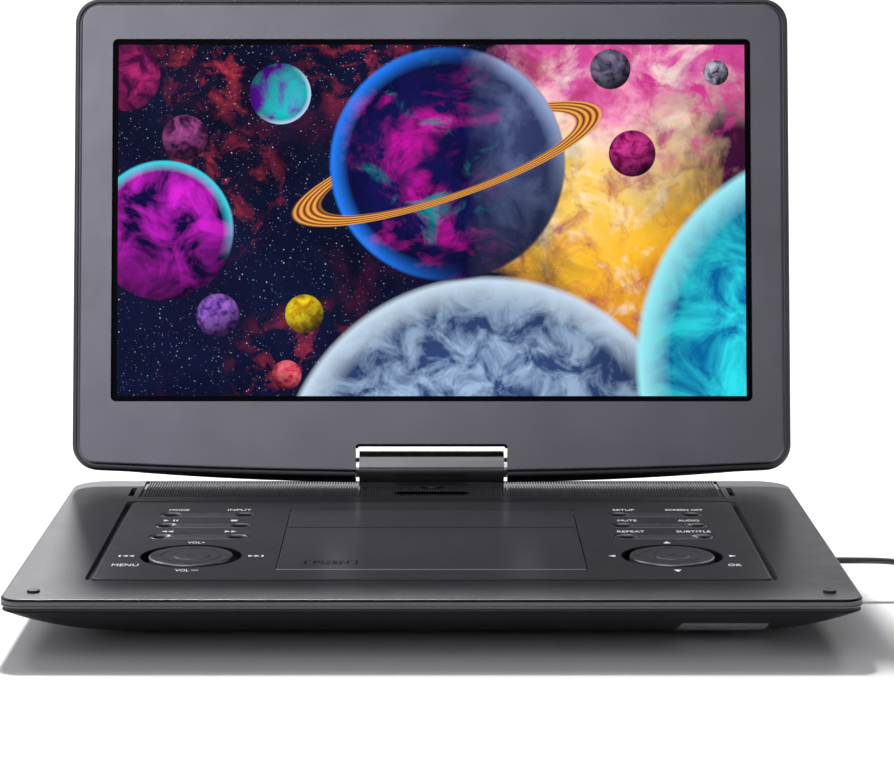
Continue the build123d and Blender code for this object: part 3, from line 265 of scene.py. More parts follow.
def plastic(name, color, roughness, metallic=0.0, spread=0.08, grain=2600, grain_strength=0.12, coat=0.0,
            coat_roughness=0.1, specular=0.5, edge=None, upright=None, edge_metal=1.0, pit_top=None,
            level=False, lid_edge_shade=False):
    """Moulded or painted plastic: slow shade variation, fine grain in the bump, and patchy gloss.

    Rounded edges between level and upright faces take the edge colour, a painted highlight where
    it is light and a painted dark line where it is dark, and upright faces the upright colour, a
    painted tone for how light falls on them. Everything from a little below pit_top, a height in
    metres, turns black as painted shade in recesses. With the lid flag set, the colour darkens
    towards the lid's near edge as painted shade where it turns under.
    """
    shader = Shader(name)
    darker = tuple(channel * (1 - spread) for channel in color)
    lighter = tuple(min(1, channel * (1 + spread)) for channel in color)
    slow = shader.noise(SHADE_SCALE, 4)
    surface = shader.blend(shader.ramp(slow, 0, 1), darker, lighter)
    metal_share = metallic
    # painted light: rounded edges take the edge colour, a painted highlight where it is light and a painted
    # dark line where it is dark
    if edge:
        mask = shader.rounding()
        surface = shader.layer(surface, edge, mask)
        metal_share = shader.ramp(mask, metallic, edge_metal, 0, 1)
    # painted light: upright faces take the upright colour, a lighter tone for how light falls on them
    if upright:
        surface = shader.layer(surface, upright, shader.upright_faces())
    # painted shade: everything from a little below pit_top turns black
    if pit_top is not None:
        rise = shader.vector_math("DOT_PRODUCT", shader.coordinates, (0, 0, 1))[1]
        depth = shader.ramp(rise, 1, 0, pit_top - PIT_END * MM, pit_top - PIT_START * MM)
        surface = shader.layer(surface, PAINTED_PIT_SHADE, depth)
    # painted shade: the colour darkens to near black towards the lid's near edge
    if lid_edge_shade:
        across = shader.vector_math("DOT_PRODUCT", shader.coordinates, (1 / base_high.x, 0, 0))[1]
        bow = shader.math("MULTIPLY", shader.math("MULTIPLY", across, across), LID_BOW * MM)
        rise = shader.vector_math("DOT_PRODUCT", shader.coordinates, tuple(lid_up))[1]
        above = shader.math("SUBTRACT", rise, bow)
        edge_at = tilt_pivot.dot(lid_up) - LID_LOW * MM
        clear_of_edge = shader.ramp(above, 0, 1, edge_at + FADE_START * MM, edge_at + FADE_END * MM)
        surface = shader.layer(PAINTED_UNDER_SHADE, surface, clear_of_edge)
    shader.join(surface, shader.principled.inputs["Base Color"])
    patches = shader.noise(PATCH_SCALE, 5, 0.6)
    shader.join(
        shader.ramp(patches, roughness * 0.93, roughness * 1.07), shader.principled.inputs["Roughness"]
    )
    shader.bump(shader.noise(grain, 2, 0.6), grain_strength, GRAIN_HEIGHT, level)
    shader.set(Coat_Weight=coat, Coat_Roughness=coat_roughness, Specular_IOR_Level=specular)
    if edge:
        shader.join(metal_share, shader.principled.inputs["Metallic"])
    else:
        shader.set(Metallic=metallic)
    return shader.material


def metal(name, color, roughness, stretch=(1, 1, 1)):
    """Steel or bright plating with fine drawn lines."""
    shader = Shader(name)
    lines = shader.noise(900, 3, 0.6, stretch)
    darker = tuple(channel * 0.86 for channel in color)
    shader.join(shader.blend(shader.ramp(lines, 0, 1), darker, color), shader.principled.inputs["Base Color"])
    shader.join(shader.ramp(lines, roughness * 0.8, roughness * 1.25), shader.principled.inputs["Roughness"])
    shader.bump(lines, 0.08, 0.00003)
    shader.set(Metallic=1.0)
    return shader.material


def tone(red, green, blue):
    """A display colour, 0 to 255, as linear light."""
    return tuple((channel / 255) ** 2.2 for channel in (red, green, blue))


PICTURE_HEIGHT = 193.5     # mm, a 15.6 inch panel at 16:9
PICTURE_MIDDLE = 135.55    # mm above the tilt axis
PICTURE_HALF_WIDTH = 16 / 9 / 2


class Picture(Shader):
    """A generic space view on the display, in units of the picture's height from its bottom middle."""

    def __init__(self, name):
        super().__init__(name)
        size = PICTURE_HEIGHT * MM
        sideways = self.vector_math("DOT_PRODUCT", self.coordinates, (1, 0, 0))[1]
        self.across = self.math("DIVIDE", sideways, size)
        rise = self.vector_math("DOT_PRODUCT", self.coordinates, tuple(lid_up))[1]
        bottom = tilt_pivot.dot(lid_up) + (PICTURE_MIDDLE - PICTURE_HEIGHT / 2) * MM
        self.up = self.math("DIVIDE", self.math("SUBTRACT", rise, bottom), size)
        place = self.add("ShaderNodeCombineXYZ")
        self.join(self.across, place.inputs["X"])
        self.join(self.up, place.inputs["Y"])
        self.place = place.outputs["Vector"]
        self.coordinates = self.place

    def cloud(self, scale, low_at, high_at, detail=6.0, shift=0.0):
        """Soft noise from 0 to 1."""
        moved = self.vector_math("ADD", self.place, (shift, shift * 0.7, shift * 1.3))[0]
        node = self.add("ShaderNodeTexNoise")
        node.inputs["Scale"].default_value = scale
        node.inputs["Detail"].default_value = detail
        node.inputs["Roughness"].default_value = 0.62
        node.inputs["Distortion"].default_value = 0.6
        self.join(moved, node.inputs["Vector"])
        return self.ramp(node.outputs["Fac"], 0, 1, low_at, high_at)

    def spot(self, centre, inner, outer):
        """A round mask: 1 within the inner radius, 0 past the outer one."""
        distance = self.vector_math("DISTANCE", self.place, (*centre, 0))[1]
        return self.ramp(distance, 0, 1, outer, inner)

    def stars(self, density, size, shift):
        """Small bright points, one in some of the cells."""
        moved = self.vector_math("ADD", self.place, (shift, shift, 0))[0]
        cells = self.add("ShaderNodeTexVoronoi")
        cells.inputs["Scale"].default_value = density
        self.join(moved, cells.inputs["Vector"])
        point = self.ramp(cells.outputs["Distance"], 0, 1, size, size * 0.3)
        brightness = self.vector_math("DOT_PRODUCT", cells.outputs["Color"], (0.5, 0.3, 0.2))[1]
        return self.math("MULTIPLY", point, self.ramp(brightness, 0, 1, 0.4, 0.8))

    def planet(self, canvas, centre, radius, dark, light, sun=(-0.6, 0.8), grain=14.0, rim=None, night=0.12):
        """A shaded ball with mottled ground, and a bright edge on its lit side if rim is a colour."""
        mask = self.spot(centre, radius * 0.975, radius * 1.005)
        local = self.vector_math("SUBTRACT", self.place, (*centre, 0))[0]
        facing = self.vector_math("DOT_PRODUCT", local, (sun[0] / radius, sun[1] / radius, 0))[1]
        ground = self.layer(dark, light, self.cloud(grain, 0.4, 0.6, shift=centre[0] * 7))
        out = self.vector_math("DISTANCE", self.place, (*centre, 0))[1]
        limb = self.ramp(out, 1, 0.55, radius * 0.6, radius)
        lit = self.math("MULTIPLY", self.ramp(facing, night, 1, -0.75, 0.45), limb)
        ground = self.layer(tone(6, 6, 22), ground, lit)
        if rim:
            edge = self.ramp(out, 0, 1, radius * 0.84, radius * 0.985)
            ground = self.layer(ground, rim, self.math("MULTIPLY", edge, self.ramp(facing, 0, 1, -0.2, 0.5)))
        return self.layer(canvas, ground, mask)

    def ring(self, centre, half_width, half_height, turn, inner):
        """A tilted flat ring: how far inside its band, and whether it is the near half."""
        local = self.vector_math("SUBTRACT", self.place, (*centre, 0))[0]
        cosine, sine = math.cos(turn), math.sin(turn)
        along = self.vector_math("DOT_PRODUCT", local, (cosine / half_width, sine / half_width, 0))[1]
        over = self.vector_math("DOT_PRODUCT", local, (-sine / half_height, cosine / half_height, 0))[1]
        squared = self.math("ADD", self.math("MULTIPLY", along, along), self.math("MULTIPLY", over, over))
        reach = self.math("SQRT", squared)
        past_hole = self.ramp(reach, 0, 1, inner, inner + 0.03)
        band = self.math("MULTIPLY", past_hole, self.ramp(reach, 1, 0, 0.97, 1.0))
        near = self.ramp(over, 1, 0, -0.02, 0.02)
        stripes = self.ramp(self.math("SINE", self.math("MULTIPLY", reach, 150)), 0, 1, -1, 1)
        return band, near, stripes


def space_picture():
    """Stars and red wisps at the left, a bright nebula at the right, and a few plain planets."""
    view = Picture("display_picture")
    sky = view.blend(view.cloud(2.2, 0.35, 0.7), tone(4, 10, 32), tone(22, 24, 58))
    sky = view.layer(sky, tone(8, 34, 62), view.math("MULTIPLY", view.cloud(3.1, 0.45, 0.75, shift=3), 0.6))
    red = view.math("MULTIPLY", view.cloud(3.6, 0.5, 0.74, shift=7), view.cloud(1.6, 0.5, 0.7, shift=11))
    sky = view.layer(sky, tone(120, 32, 72), view.math("MULTIPLY", red, 0.5))
    wisps = [((-0.6, 0.93), 0.24), ((-0.58, 0.6), 0.22), ((-0.36, 0.05), 0.24), ((-0.2, 0.97), 0.22)]
    for centre, reach in wisps:
        smoke_here = view.cloud(13, 0.5, 0.78, shift=centre[0])
        wisp = view.math("MULTIPLY", view.spot(centre, 0.0, reach), smoke_here)
        sky = view.layer(sky, tone(232, 66, 86), wisp)
    sky = view.layer(sky, (0.9, 0.92, 1.0), view.stars(60, 0.13, 0.3))
    sky = view.layer(sky, (0.35, 0.42, 0.62), view.stars(120, 0.2, 1.7))

    lean_in = view.math("ADD", view.across, view.math("MULTIPLY", view.up, 0.16))
    edge = view.math("ADD", lean_in, view.math("MULTIPLY", view.cloud(4.5, 0.3, 0.7, shift=5), 0.3))
    nebula_mask = view.ramp(edge, 0, 1, 0.4, 0.66)
    height = view.math("ADD", view.up, view.math("MULTIPLY", view.cloud(3.4, 0.25, 0.75, shift=9), 0.4))
    ramp = view.add("ShaderNodeValToRGB")
    stops = [
        (0.3, (190, 92, 40)), (0.5, (255, 190, 50)), (0.66, (255, 214, 110)), (0.8, (255, 214, 190)),
        (0.94, (250, 150, 190)), (1.0, (214, 84, 160)),
    ]
    while len(ramp.color_ramp.elements) < len(stops):
        ramp.color_ramp.elements.new(0.5)
    for element, (at, color) in zip(ramp.color_ramp.elements, stops):
        element.position = at
        element.color = (*tone(*color), 1)
    view.join(view.math("MULTIPLY", height, 0.82), ramp.inputs["Fac"])
    fire = view.layer(ramp.outputs["Color"], tone(255, 246, 226), view.cloud(7, 0.52, 0.72, shift=2))
    embers = view.math("MULTIPLY", view.cloud(9, 0.52, 0.68, shift=13), 0.75)
    fire = view.layer(fire, tone(170, 50, 90), embers)
    wedge = view.math("MULTIPLY", view.spot((0.86, 0.66), 0.1, 0.34), view.cloud(3, 0.3, 0.55, shift=17))
    fire = view.layer(fire, tone(60, 20, 52), wedge)
    veins = view.math("MULTIPLY", view.spot((0.7, 0.95), 0.1, 0.42), view.cloud(11, 0.5, 0.62, shift=23))
    fire = view.layer(fire, tone(205, 60, 140), veins)
    canvas = view.layer(sky, fire, nebula_mask)

    left_planets = [        # centre, radius, two colours, way to the sun, grain, then rim colour and night
        ((-0.87, 0.91), 0.1, tone(70, 16, 66), tone(190, 44, 120), (0.8, 0.2), 18),
        ((-0.7, 0.735), 0.065, tone(60, 24, 66), tone(176, 80, 150), (-0.2, 0.9), 26),
        ((-0.43, 0.86), 0.088, tone(110, 20, 190), tone(30, 200, 200), (0.7, -0.5), 13,
         tone(190, 225, 255), 0.4),
        ((-0.604, 0.229), 0.062, tone(84, 44, 140), tone(166, 110, 214), (-0.4, 0.9), 42),
        ((-0.36, 0.233), 0.055, tone(190, 140, 10), tone(250, 226, 40), (-0.5, 0.8), 42),
        ((-0.409, 0.06), 0.042, tone(200, 30, 70), tone(255, 120, 130), (0.3, 0.8), 40),
        ((-0.76, 0.47), 0.2, tone(20, 10, 70), tone(226, 40, 222), (0.2, 0.9), 7.5, tone(60, 220, 240), 0.35),
    ]
    for planet in left_planets:
        canvas = view.planet(canvas, *planet)

    ice = view.planet(canvas, (0.16, -0.26), 0.6, tone(52, 74, 122), tone(160, 188, 220), (-0.35, 0.9), 11,
                      tone(206, 226, 245))
    canvas = view.layer(ice, canvas, view.ramp(view.across, 0, 1, 0.6, 0.9))
    globe, globe_radius = (0.045, 0.66), 0.335
    storm = view.layer(tone(14, 14, 66), tone(210, 24, 168), view.cloud(4.5, 0.52, 0.66, shift=29))
    storm = view.layer(storm, tone(24, 150, 160), view.cloud(6.5, 0.55, 0.66, shift=31))
    ragged = view.math("ADD", view.across, view.math("MULTIPLY", view.cloud(9, 0.3, 0.7), 0.05))
    canvas = view.planet(canvas, globe, globe_radius, storm, tone(22, 22, 84), (-0.8, 0.1), 9,
                         tone(40, 130, 255), 0.5)
    day_side = view.planet(canvas, globe, globe_radius, tone(58, 68, 112), tone(96, 108, 152), (0.1, 0.9), 8,
                           tone(150, 170, 214), 0.35)
    canvas = view.layer(canvas, day_side, view.ramp(ragged, 0, 1, 0.12, 0.24))
    band, near, stripes = view.ring(globe, 0.47, 0.105, math.radians(19), 0.8)
    outside = view.math("SUBTRACT", 1.0, view.spot(globe, globe_radius - 0.005, globe_radius))
    shown = view.math("MULTIPLY", band, view.math("MAXIMUM", near, outside))
    gold = view.layer(tone(120, 44, 14), tone(246, 176, 84), stripes)
    canvas = view.layer(canvas, gold, shown)

    right_planets = [
        ((0.508, 0.93), 0.058, tone(52, 46, 70), tone(130, 122, 150), (-0.5, 0.8), 34),
        ((0.569, 0.689), 0.067, tone(120, 14, 76), tone(220, 60, 150), (-0.4, 0.8), 34),
        ((0.808, 0.92), 0.036, tone(70, 60, 90), tone(200, 196, 214), (-0.8, 0.4), 40),
        ((1.2, 0.1), 0.625, tone(8, 110, 170), tone(50, 226, 240), (-0.9, 0.5), 6.5,
         tone(160, 240, 250), 0.3),
    ]
    for planet in right_planets:
        canvas = view.planet(canvas, *planet)

    inside_width = view.math("LESS_THAN", view.math("ABSOLUTE", view.across), PICTURE_HALF_WIDTH)
    inside_height = view.math("LESS_THAN", view.math("ABSOLUTE", view.math("SUBTRACT", view.up, 0.5)), 0.5)
    lit = view.math("MULTIPLY", inside_width, inside_height)
    view.join(view.layer((0.0, 0.0, 0.0), canvas, lit), view.principled.inputs["Emission Color"])
    view.set(Base_Color=(0.002, 0.002, 0.003, 1), Roughness=0.35)
    view.set(Specular_IOR_Level=0.03, Emission_Strength=1.0)
    return view.material


# painted on rounded edges: a dark line standing in for shade, and a light line standing in for a highlight
PAINTED_DARK_FILLET = (0.007, 0.007, 0.008)
PAINTED_EDGE_HIGHLIGHT = (0.3, 0.3, 0.32)
key_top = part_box("key_left_1")[1].z
# top cover: a painted dark line on its rounded edges, and its upright rim faces painted lighter
cover_satin = plastic("cover_satin", (0.028, 0.028, 0.033), 0.36, edge=PAINTED_DARK_FILLET, upright=(0.13, 0.13, 0.14),
                      specular=0.19, level=True)
# both lid pieces darken towards the lid's near edge as painted shade
shell_dark = plastic("shell_satin", (0.06, 0.06, 0.069), 0.4, metallic=0.3, coat=0.12, coat_roughness=0.35,
                     lid_edge_shade=True)
bezel_satin = plastic("bezel_satin", (0.17, 0.17, 0.192), 0.32, metallic=0.85, lid_edge_shade=True)
# the panel's recesses below its top are painted black as shade
deck_satin = plastic("deck_satin", (0.036, 0.036, 0.041), 0.3, pit_top=panel_top, level=True)
# the disc door's rounded edges carry a painted highlight
door_satin = plastic("door_satin", (0.04, 0.04, 0.046), 0.24, edge=PAINTED_EDGE_HIGHLIGHT, level=True)
grille_satin = plastic("grille_satin", (0.09, 0.09, 0.098), 0.5, specular=0.15)
# keys: a painted highlight on their rounded edges, and their dished ends painted black as shade
key_satin = plastic("key_satin", (0.11, 0.11, 0.118), 0.28, edge=PAINTED_EDGE_HIGHLIGHT, edge_metal=0.6,
                    pit_top=key_top, level=True)
# the pads' rounded edges are painted lighter, a painted highlight
pad_satin = plastic("pad_satin", (0.085, 0.085, 0.092), 0.3, edge=(0.17, 0.17, 0.18), level=True)
hull_black = plastic("hull_black", (0.018, 0.018, 0.021), 0.5, grain_strength=0.25, specular=0.3)
print_white_painted_glow = plastic("print_white_painted_glow", (0.82, 0.82, 0.84), 0.5, spread=0.04)
print_shader = print_white_painted_glow.node_tree.nodes["Principled BSDF"].inputs
# painted glow: the white print emits a little light though it is no lamp
print_shader["Emission Color"].default_value = (1, 1, 1, 1)
print_shader["Emission Strength"].default_value = 0.6
# dark print on the disc door, also used for the strips of painted shade on the lid
dark_print_and_shade = plastic("dark_print_and_shade", (0.004, 0.004, 0.005), 0.7, specular=0.1)
barrel_gloss = plastic("barrel_gloss", (0.18, 0.18, 0.19), 0.16, metallic=0.9, grain_strength=0.02, coat=0.4,
                      coat_roughness=0.06)
smoke = plastic("smoked_window", (0.36, 0.36, 0.39), 0.3, grain_strength=0.05, coat=0.4)
indicator = plastic("indicator_lens", (0.003, 0.003, 0.004), 0.45, grain_strength=0.05, specular=0.0)
rubber = plastic("rubber", (0.018, 0.018, 0.019), 0.7, grain=4000, grain_strength=0.4)
inner_black = plastic("inner_plastic", (0.02, 0.02, 0.022), 0.5, grain_strength=0.3)
board_green = plastic("circuit_board", (0.01, 0.12, 0.05), 0.35, spread=0.25, coat=0.3)
cell_wrap = plastic("battery_wrap", (0.03, 0.05, 0.16), 0.3, spread=0.1, coat=0.3)
cord_jacket = plastic("cord_jacket", (0.03, 0.03, 0.033), 0.3, grain=3500, grain_strength=0.1, coat=0.3)
steel = metal("steel", (0.52, 0.52, 0.54), 0.3, (1, 1, 8))
chrome = metal("bright_plate", (0.75, 0.75, 0.78), 0.14)

paint(cover_satin, "base_top_cover")
paint(shell_dark, "lid_back_cover")
paint(bezel_satin, "lid_front_bezel")
paint(deck_satin, "control_panel")
paint(door_satin, "disc_door")
paint(hull_black, "base_bottom_cover", "port_panel_left", "port_panel_right", "power_switch")
paint(barrel_gloss, "hinge_yoke")
paint(smoke, "ir_window")
paint(indicator, "indicator_window")
paint(rubber, "rubber_feet", "lid_bumpers")
paint(inner_black, "disc_deck", "door_latch", "spindle_hub", "laser_sled", "audio_jacks", "dc_jack",
      "speakers", "pad_pivot_left", "pad_pivot_right")
paint(space_picture(), "lcd_panel")
nodes["lcd_panel"].visible_glossy = False    # the satin deck doesn't mirror the display's colours
paint(board_green, "main_board", "key_boards", "display_board")
paint(cell_wrap, "battery_pack")
paint(cord_jacket, "cable_plug", "cable_connector")
paint(steel, "spindle_motor", "sled_rails", "sled_motor", "sled_screw", "base_screws", "lid_screws",
      "swivel_bushing", "swivel_nut", "hinge_leaves", "video_socket", "data_socket", "card_slot")
paint(chrome, "hinge_end_caps")
for side in ("left", "right"):
    paint(pad_satin, f"pad_{side}", f"pad_button_{side}")
    paint(key_satin, *[f"key_{side}_{row}" for row in (1, 2, 3)])

# ------------------------------------------------------------------ the lead
CORD_DIAMETER = 3.2        # mm
COIL_TURN_DIAMETER = 36.0
COIL_COLUMNS = 4
COIL_LAYERS = 3
COIL_PITCH = CORD_DIAMETER + 0.1
POINTS_PER_TURN = 16
CORD_LIE = CORD_DIAMETER / 2 + 0.05
coil_low, coil_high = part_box("cable_coil")
coil_centre = (coil_low + coil_high) / 2
plug_low, plug_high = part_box("cable_plug")
EXIT_DROP = 10.2           # mm, the lead's exit below the top face
cord_exit = Vector((plug_high.x, (plug_low.y + plug_high.y) / 2, top_z - EXIT_DROP * MM))
route_mm = [
    (0, 0, 0),
    (8.5, 0, 0),
    (21.5, -0.05, -0.05),
    (33, -0.1, -0.7),
    (43.5, -0.4, -4.7),
    (52.5, -0.9, -11.1),
    (63, -1.4, CORD_LIE - 16.8),
    (76.5, -1.9, CORD_LIE - 16.8),
]


def tail_points(last):
    """From the last turn, over the coil and down to the connector beside it."""
    outside = coil_centre.x + (coil_high.x - coil_low.x) / 2
    over = (CORD_LIE + COIL_LAYERS * COIL_PITCH) * MM
    connector_low, connector_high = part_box("cable_connector")
    return [
        Vector((coil_centre.x + 13 * MM, last.y - 3.5 * MM, over)),
        Vector((coil_centre.x + 20 * MM, last.y - 9 * MM, over + 0.4 * MM)),
        Vector((outside - 1.0 * MM, coil_centre.y + 3 * MM, over * 0.72)),
        Vector((outside + 0.6 * MM, coil_centre.y - 7 * MM, 4.2 * MM)),
        Vector(((connector_low.x + connector_high.x) / 2, connector_high.y, 3.3 * MM)),
    ]


def cord_points():
    """The route out of the plug, the coil's turns from the outside in and up, and the tail."""
    points = [cord_exit + Vector(step) * MM for step in route_mm]
    outer = COIL_TURN_DIAMETER / 2 + COIL_PITCH * (COIL_COLUMNS - 1) / 2
    turns = COIL_COLUMNS * COIL_LAYERS
    steps = int(turns * POINTS_PER_TURN)
    for step in range(2, steps + 1):
        turn = step / POINTS_PER_TURN
        whole = min(int(turn), turns - 1)
        ease = min(1.0, (turn - whole) * 3)
        layer_now, column_now = divmod(whole, COIL_COLUMNS)
        layer_before, column_before = divmod(max(whole - 1, 0), COIL_COLUMNS)
        if layer_now % 2:
            column_now = COIL_COLUMNS - 1 - column_now
        if layer_before % 2:
            column_before = COIL_COLUMNS - 1 - column_before
        column = column_before + (column_now - column_before) * ease
        layer = layer_before + (layer_now - layer_before) * ease
        radius = outer - column * COIL_PITCH
        angle = math.pi / 2 - turn * 2 * math.pi
        points.append(Vector((
            coil_centre.x + radius * MM * math.cos(angle),
            coil_centre.y + radius * MM * math.sin(angle),
            (CORD_LIE + layer * COIL_PITCH) * MM,
        )))
    return points + tail_points(points[-1])


def cord_spline(name, points):
    """A smooth round curve through these control points."""
    data = bpy.data.curves.new(name, "CURVE")
    data.dimensions = "3D"
    data.bevel_depth = CORD_DIAMETER / 2 * MM
    data.bevel_resolution = 5
    data.resolution_u = 6
    data.use_fill_caps = True
    spline = data.splines.new("NURBS")
    spline.points.add(len(points) - 1)
    for point, place in zip(spline.points, points):
        point.co = (*place, 1)
    spline.order_u = 3
    spline.use_endpoint_u = True
    data.materials.append(cord_jacket)
    return link(name, data, "base")


points = cord_points()
lead = cord_spline("lead", points)
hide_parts("cable_cord", "cable_coil")

# ------------------------------------------------------------------ ribbed speaker grille
GRILLE_HALF_WIDTH = 157.3  # mm, and places from the base's centre
GRILLE_FRONT = 90.1
GRILLE_REAR = 133.9
RIB_FRONT = 93.5
RIB_REAR = 133.6
RIB_PITCH = 1.45
RIB_WIDTH = 0.8
RIB_TOP = -0.25            # heights from the top face
LIP_TOP = -0.2
PLATE_TOP = -1.3
PLATE_UNDER = -2.5
LIP_GAP = 0.6              # between the lip and the ribs
POST_Y = 122.0
POST_HOLE = 6.4            # radius of the hole for the hinge's post
LENS_Y = 104.0
LENS_HALF_LENGTH = 21.0
LENS_HALF_DEPTH = 3.2
LENS_POINT = 4.0           # length of each pointed end
BEVEL = 0.18
SHORTEST_RIB = 1.0


def flat_shape(name, outlines, low, high, bevel=0.0, on_lid_plane=False):
    """A mesh of closed outlines, filled and given a thickness, on the base's top or in the lid's plane."""
    data = bpy.data.curves.new(name, "CURVE")
    data.dimensions = "2D"
    data.fill_mode = "BOTH"
    data.extrude = (high - low) / 2 * MM - bevel * MM
    data.bevel_depth = bevel * MM
    data.offset = -bevel * MM
    for outline in outlines:
        spline = data.splines.new("POLY")
        spline.points.add(len(outline) - 1)
        for point, (x, y) in zip(spline.points, outline):
            point.co = (x * MM, y * MM, 0, 1)
        spline.use_cyclic_u = True
    source = bpy.data.objects.new(name, data)
    mesh = bpy.data.meshes.new_from_object(source)
    bpy.data.objects.remove(source)
    middle = (low + high) / 2
    if on_lid_plane:
        turn = Matrix((Vector((1, 0, 0)), lid_up, lid_out)).transposed().to_4x4()
        mesh.transform(Matrix.Translation(on_lid(0, 0, middle)) @ turn)
    else:
        mesh.transform(Matrix.Translation(on_base(0, 0, middle)))
    return mesh


def box_outline(left, front, right, rear):
    """A rectangle, counterclockwise."""
    return [(left, front), (right, front), (right, rear), (left, rear)]


def round_outline(x, y, radius, steps=48):
    """A circle about a point."""
    turns = [2 * math.pi * step / steps for step in range(steps)]
    return [(x + radius * math.cos(turn), y + radius * math.sin(turn)) for turn in turns]


def lens_outline(gap):
    """The pointed outline of the indicator window, grown by a gap."""
    tip = LENS_HALF_LENGTH + gap
    shoulder = tip - LENS_POINT
    half = LENS_HALF_DEPTH + gap
    return [
        (-tip, LENS_Y), (-shoulder, LENS_Y - half), (shoulder, LENS_Y - half), (tip, LENS_Y),
        (shoulder, LENS_Y + half), (-shoulder, LENS_Y + half),
    ]


def lens_reach(x, gap=0.5):
    """Half the indicator window's depth at this x, or 0 past its points."""
    past_shoulder = abs(x) - (LENS_HALF_LENGTH + gap - LENS_POINT)
    return max(0.0, (LENS_HALF_DEPTH + gap) * min(1.0, 1 - past_shoulder / LENS_POINT))


def rib_spans(x):
    """The stretches of one rib that are clear of the hinge post and the indicator window, front and rear."""
    spans = [(RIB_FRONT, RIB_REAR)]
    blocks = []
    if lens_reach(x) > 0:
        blocks.append((LENS_Y - lens_reach(x), LENS_Y + lens_reach(x)))
    if abs(x) < POST_HOLE + 0.4:
        reach = math.sqrt((POST_HOLE + 0.6) ** 2 - x * x)
        blocks.append((POST_Y - reach, POST_Y + reach))
    for block_front, block_rear in blocks:
        front, rear = spans.pop()
        spans += [(front, block_front), (block_rear, rear)]
    return [(front, rear) for front, rear in spans if rear - front > SHORTEST_RIB]


def grille():
    """A sunk plate with a flat lip along its front, and fine ribs from front to back."""
    plate = flat_shape(
        "grille_plate",
        [box_outline(-GRILLE_HALF_WIDTH, GRILLE_FRONT, GRILLE_HALF_WIDTH, GRILLE_REAR),
         round_outline(0, POST_Y, POST_HOLE), lens_outline(0.1)],
        PLATE_UNDER, PLATE_TOP,
    )
    lip = flat_shape(
        "grille_lip", [box_outline(-GRILLE_HALF_WIDTH, GRILLE_FRONT, GRILLE_HALF_WIDTH, RIB_FRONT - LIP_GAP)],
        PLATE_TOP, LIP_TOP, BEVEL,
    )
    builder = bmesh.new()
    for mesh in (plate, lip):
        builder.from_mesh(mesh)
        bpy.data.meshes.remove(mesh)
    count = int((GRILLE_HALF_WIDTH - 1) / RIB_PITCH)
    profile = [
        (-RIB_WIDTH / 2, PLATE_TOP), (-RIB_WIDTH / 2, RIB_TOP - BEVEL), (-RIB_WIDTH / 2 + BEVEL, RIB_TOP),
        (RIB_WIDTH / 2 - BEVEL, RIB_TOP), (RIB_WIDTH / 2, RIB_TOP - BEVEL), (RIB_WIDTH / 2, PLATE_TOP),
    ]
    for index in range(-count, count + 1):
        x = index * RIB_PITCH
        for front, rear in rib_spans(x):
            ends = [[builder.verts.new(on_base(x + dx, y, z)) for dx, z in profile] for y in (front, rear)]
            for step in range(len(profile) - 1):
                builder.faces.new((ends[0][step], ends[0][step + 1], ends[1][step + 1], ends[1][step]))
            builder.faces.new(ends[0])
            builder.faces.new(reversed(ends[1]))
    return finish_mesh("speaker_ribs", builder, "base", grille_satin, smooth=False)


ribs = grille()
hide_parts("speaker_grille")

# ------------------------------------------------------------------ painted shade: a dark strip along the lid's notch
NOTCH_HALF_WIDTH = 41.4    # mm
NOTCH_TOP = 12.55          # above the tilt axis
NOTCH_RADIUS = 2
NOTCH_SHADE_DEPTH = 1.3
NOTCH_SHADE_FOOT = 10.3           # where its two ends stop, above the tilt axis
NOTCH_SHADE_BACK = 3.0            # the shade strip's two faces, out from the tilt axis
NOTCH_SHADE_FRONT = 8.35


def corner_arc(x, y, radius, start, steps=8):
    """A quarter turn of points about a corner, clockwise from a start angle."""
    turns = [start - math.pi / 2 * step / steps for step in range(steps + 1)]
    return [(x + radius * math.cos(turn), y + radius * math.sin(turn)) for turn in turns]


def painted_shade_strip(name, outline, back, front):
    """A dark strip of painted shade on the lid, given by its outline on the lid's plane and its two faces."""
    mesh = flat_shape(name, [outline], back, front, on_lid_plane=True)
    mesh.materials.clear()
    mesh.materials.append(dark_print_and_shade)
    piece = link(name, mesh, "lid")


def notch_shade_strip():
    """A thin dark strip of painted shade under the notch's upper edge, turned down round both corners."""
    corner_x, corner_y = NOTCH_HALF_WIDTH - NOTCH_RADIUS, NOTCH_TOP - NOTCH_RADIUS
    outline = []
    for side_radius, half_width in ((NOTCH_RADIUS, NOTCH_HALF_WIDTH),
                                    (NOTCH_RADIUS - NOTCH_SHADE_DEPTH, NOTCH_HALF_WIDTH - NOTCH_SHADE_DEPTH)):
        run = [(-half_width, NOTCH_SHADE_FOOT)] + corner_arc(-corner_x, corner_y, side_radius, math.pi)
        run += corner_arc(corner_x, corner_y, side_radius, math.pi / 2) + [(half_width, NOTCH_SHADE_FOOT)]
        outline += run if not outline else run[::-1]
    painted_shade_strip("notch_shade_strip", outline, NOTCH_SHADE_BACK, NOTCH_SHADE_FRONT)


notch_shade_strip()

# ------------------------------------------------------------------ painted shade: dark strips under the lid's near edge
STRIP_DROP = 2.2           # mm below the lid's edge beside the notch
STRIP_REACH = 165          # where the strips end, from the lid's middle
STRIP_BACK = -3.0          # the strips' two faces, out from the tilt axis
STRIP_FRONT = 3.5
STRIP_STEPS = 24
STRIP_INSET = 0.05         # how far the strips go into the lid
LID_HALF_WIDTH = 196       # mm


def lid_edge(x):
    """Height of the lid's near edge at a place across the lid, in mm up from the hinge's axis."""
    return LID_BOW * (x / LID_HALF_WIDTH) ** 2 - LID_LOW


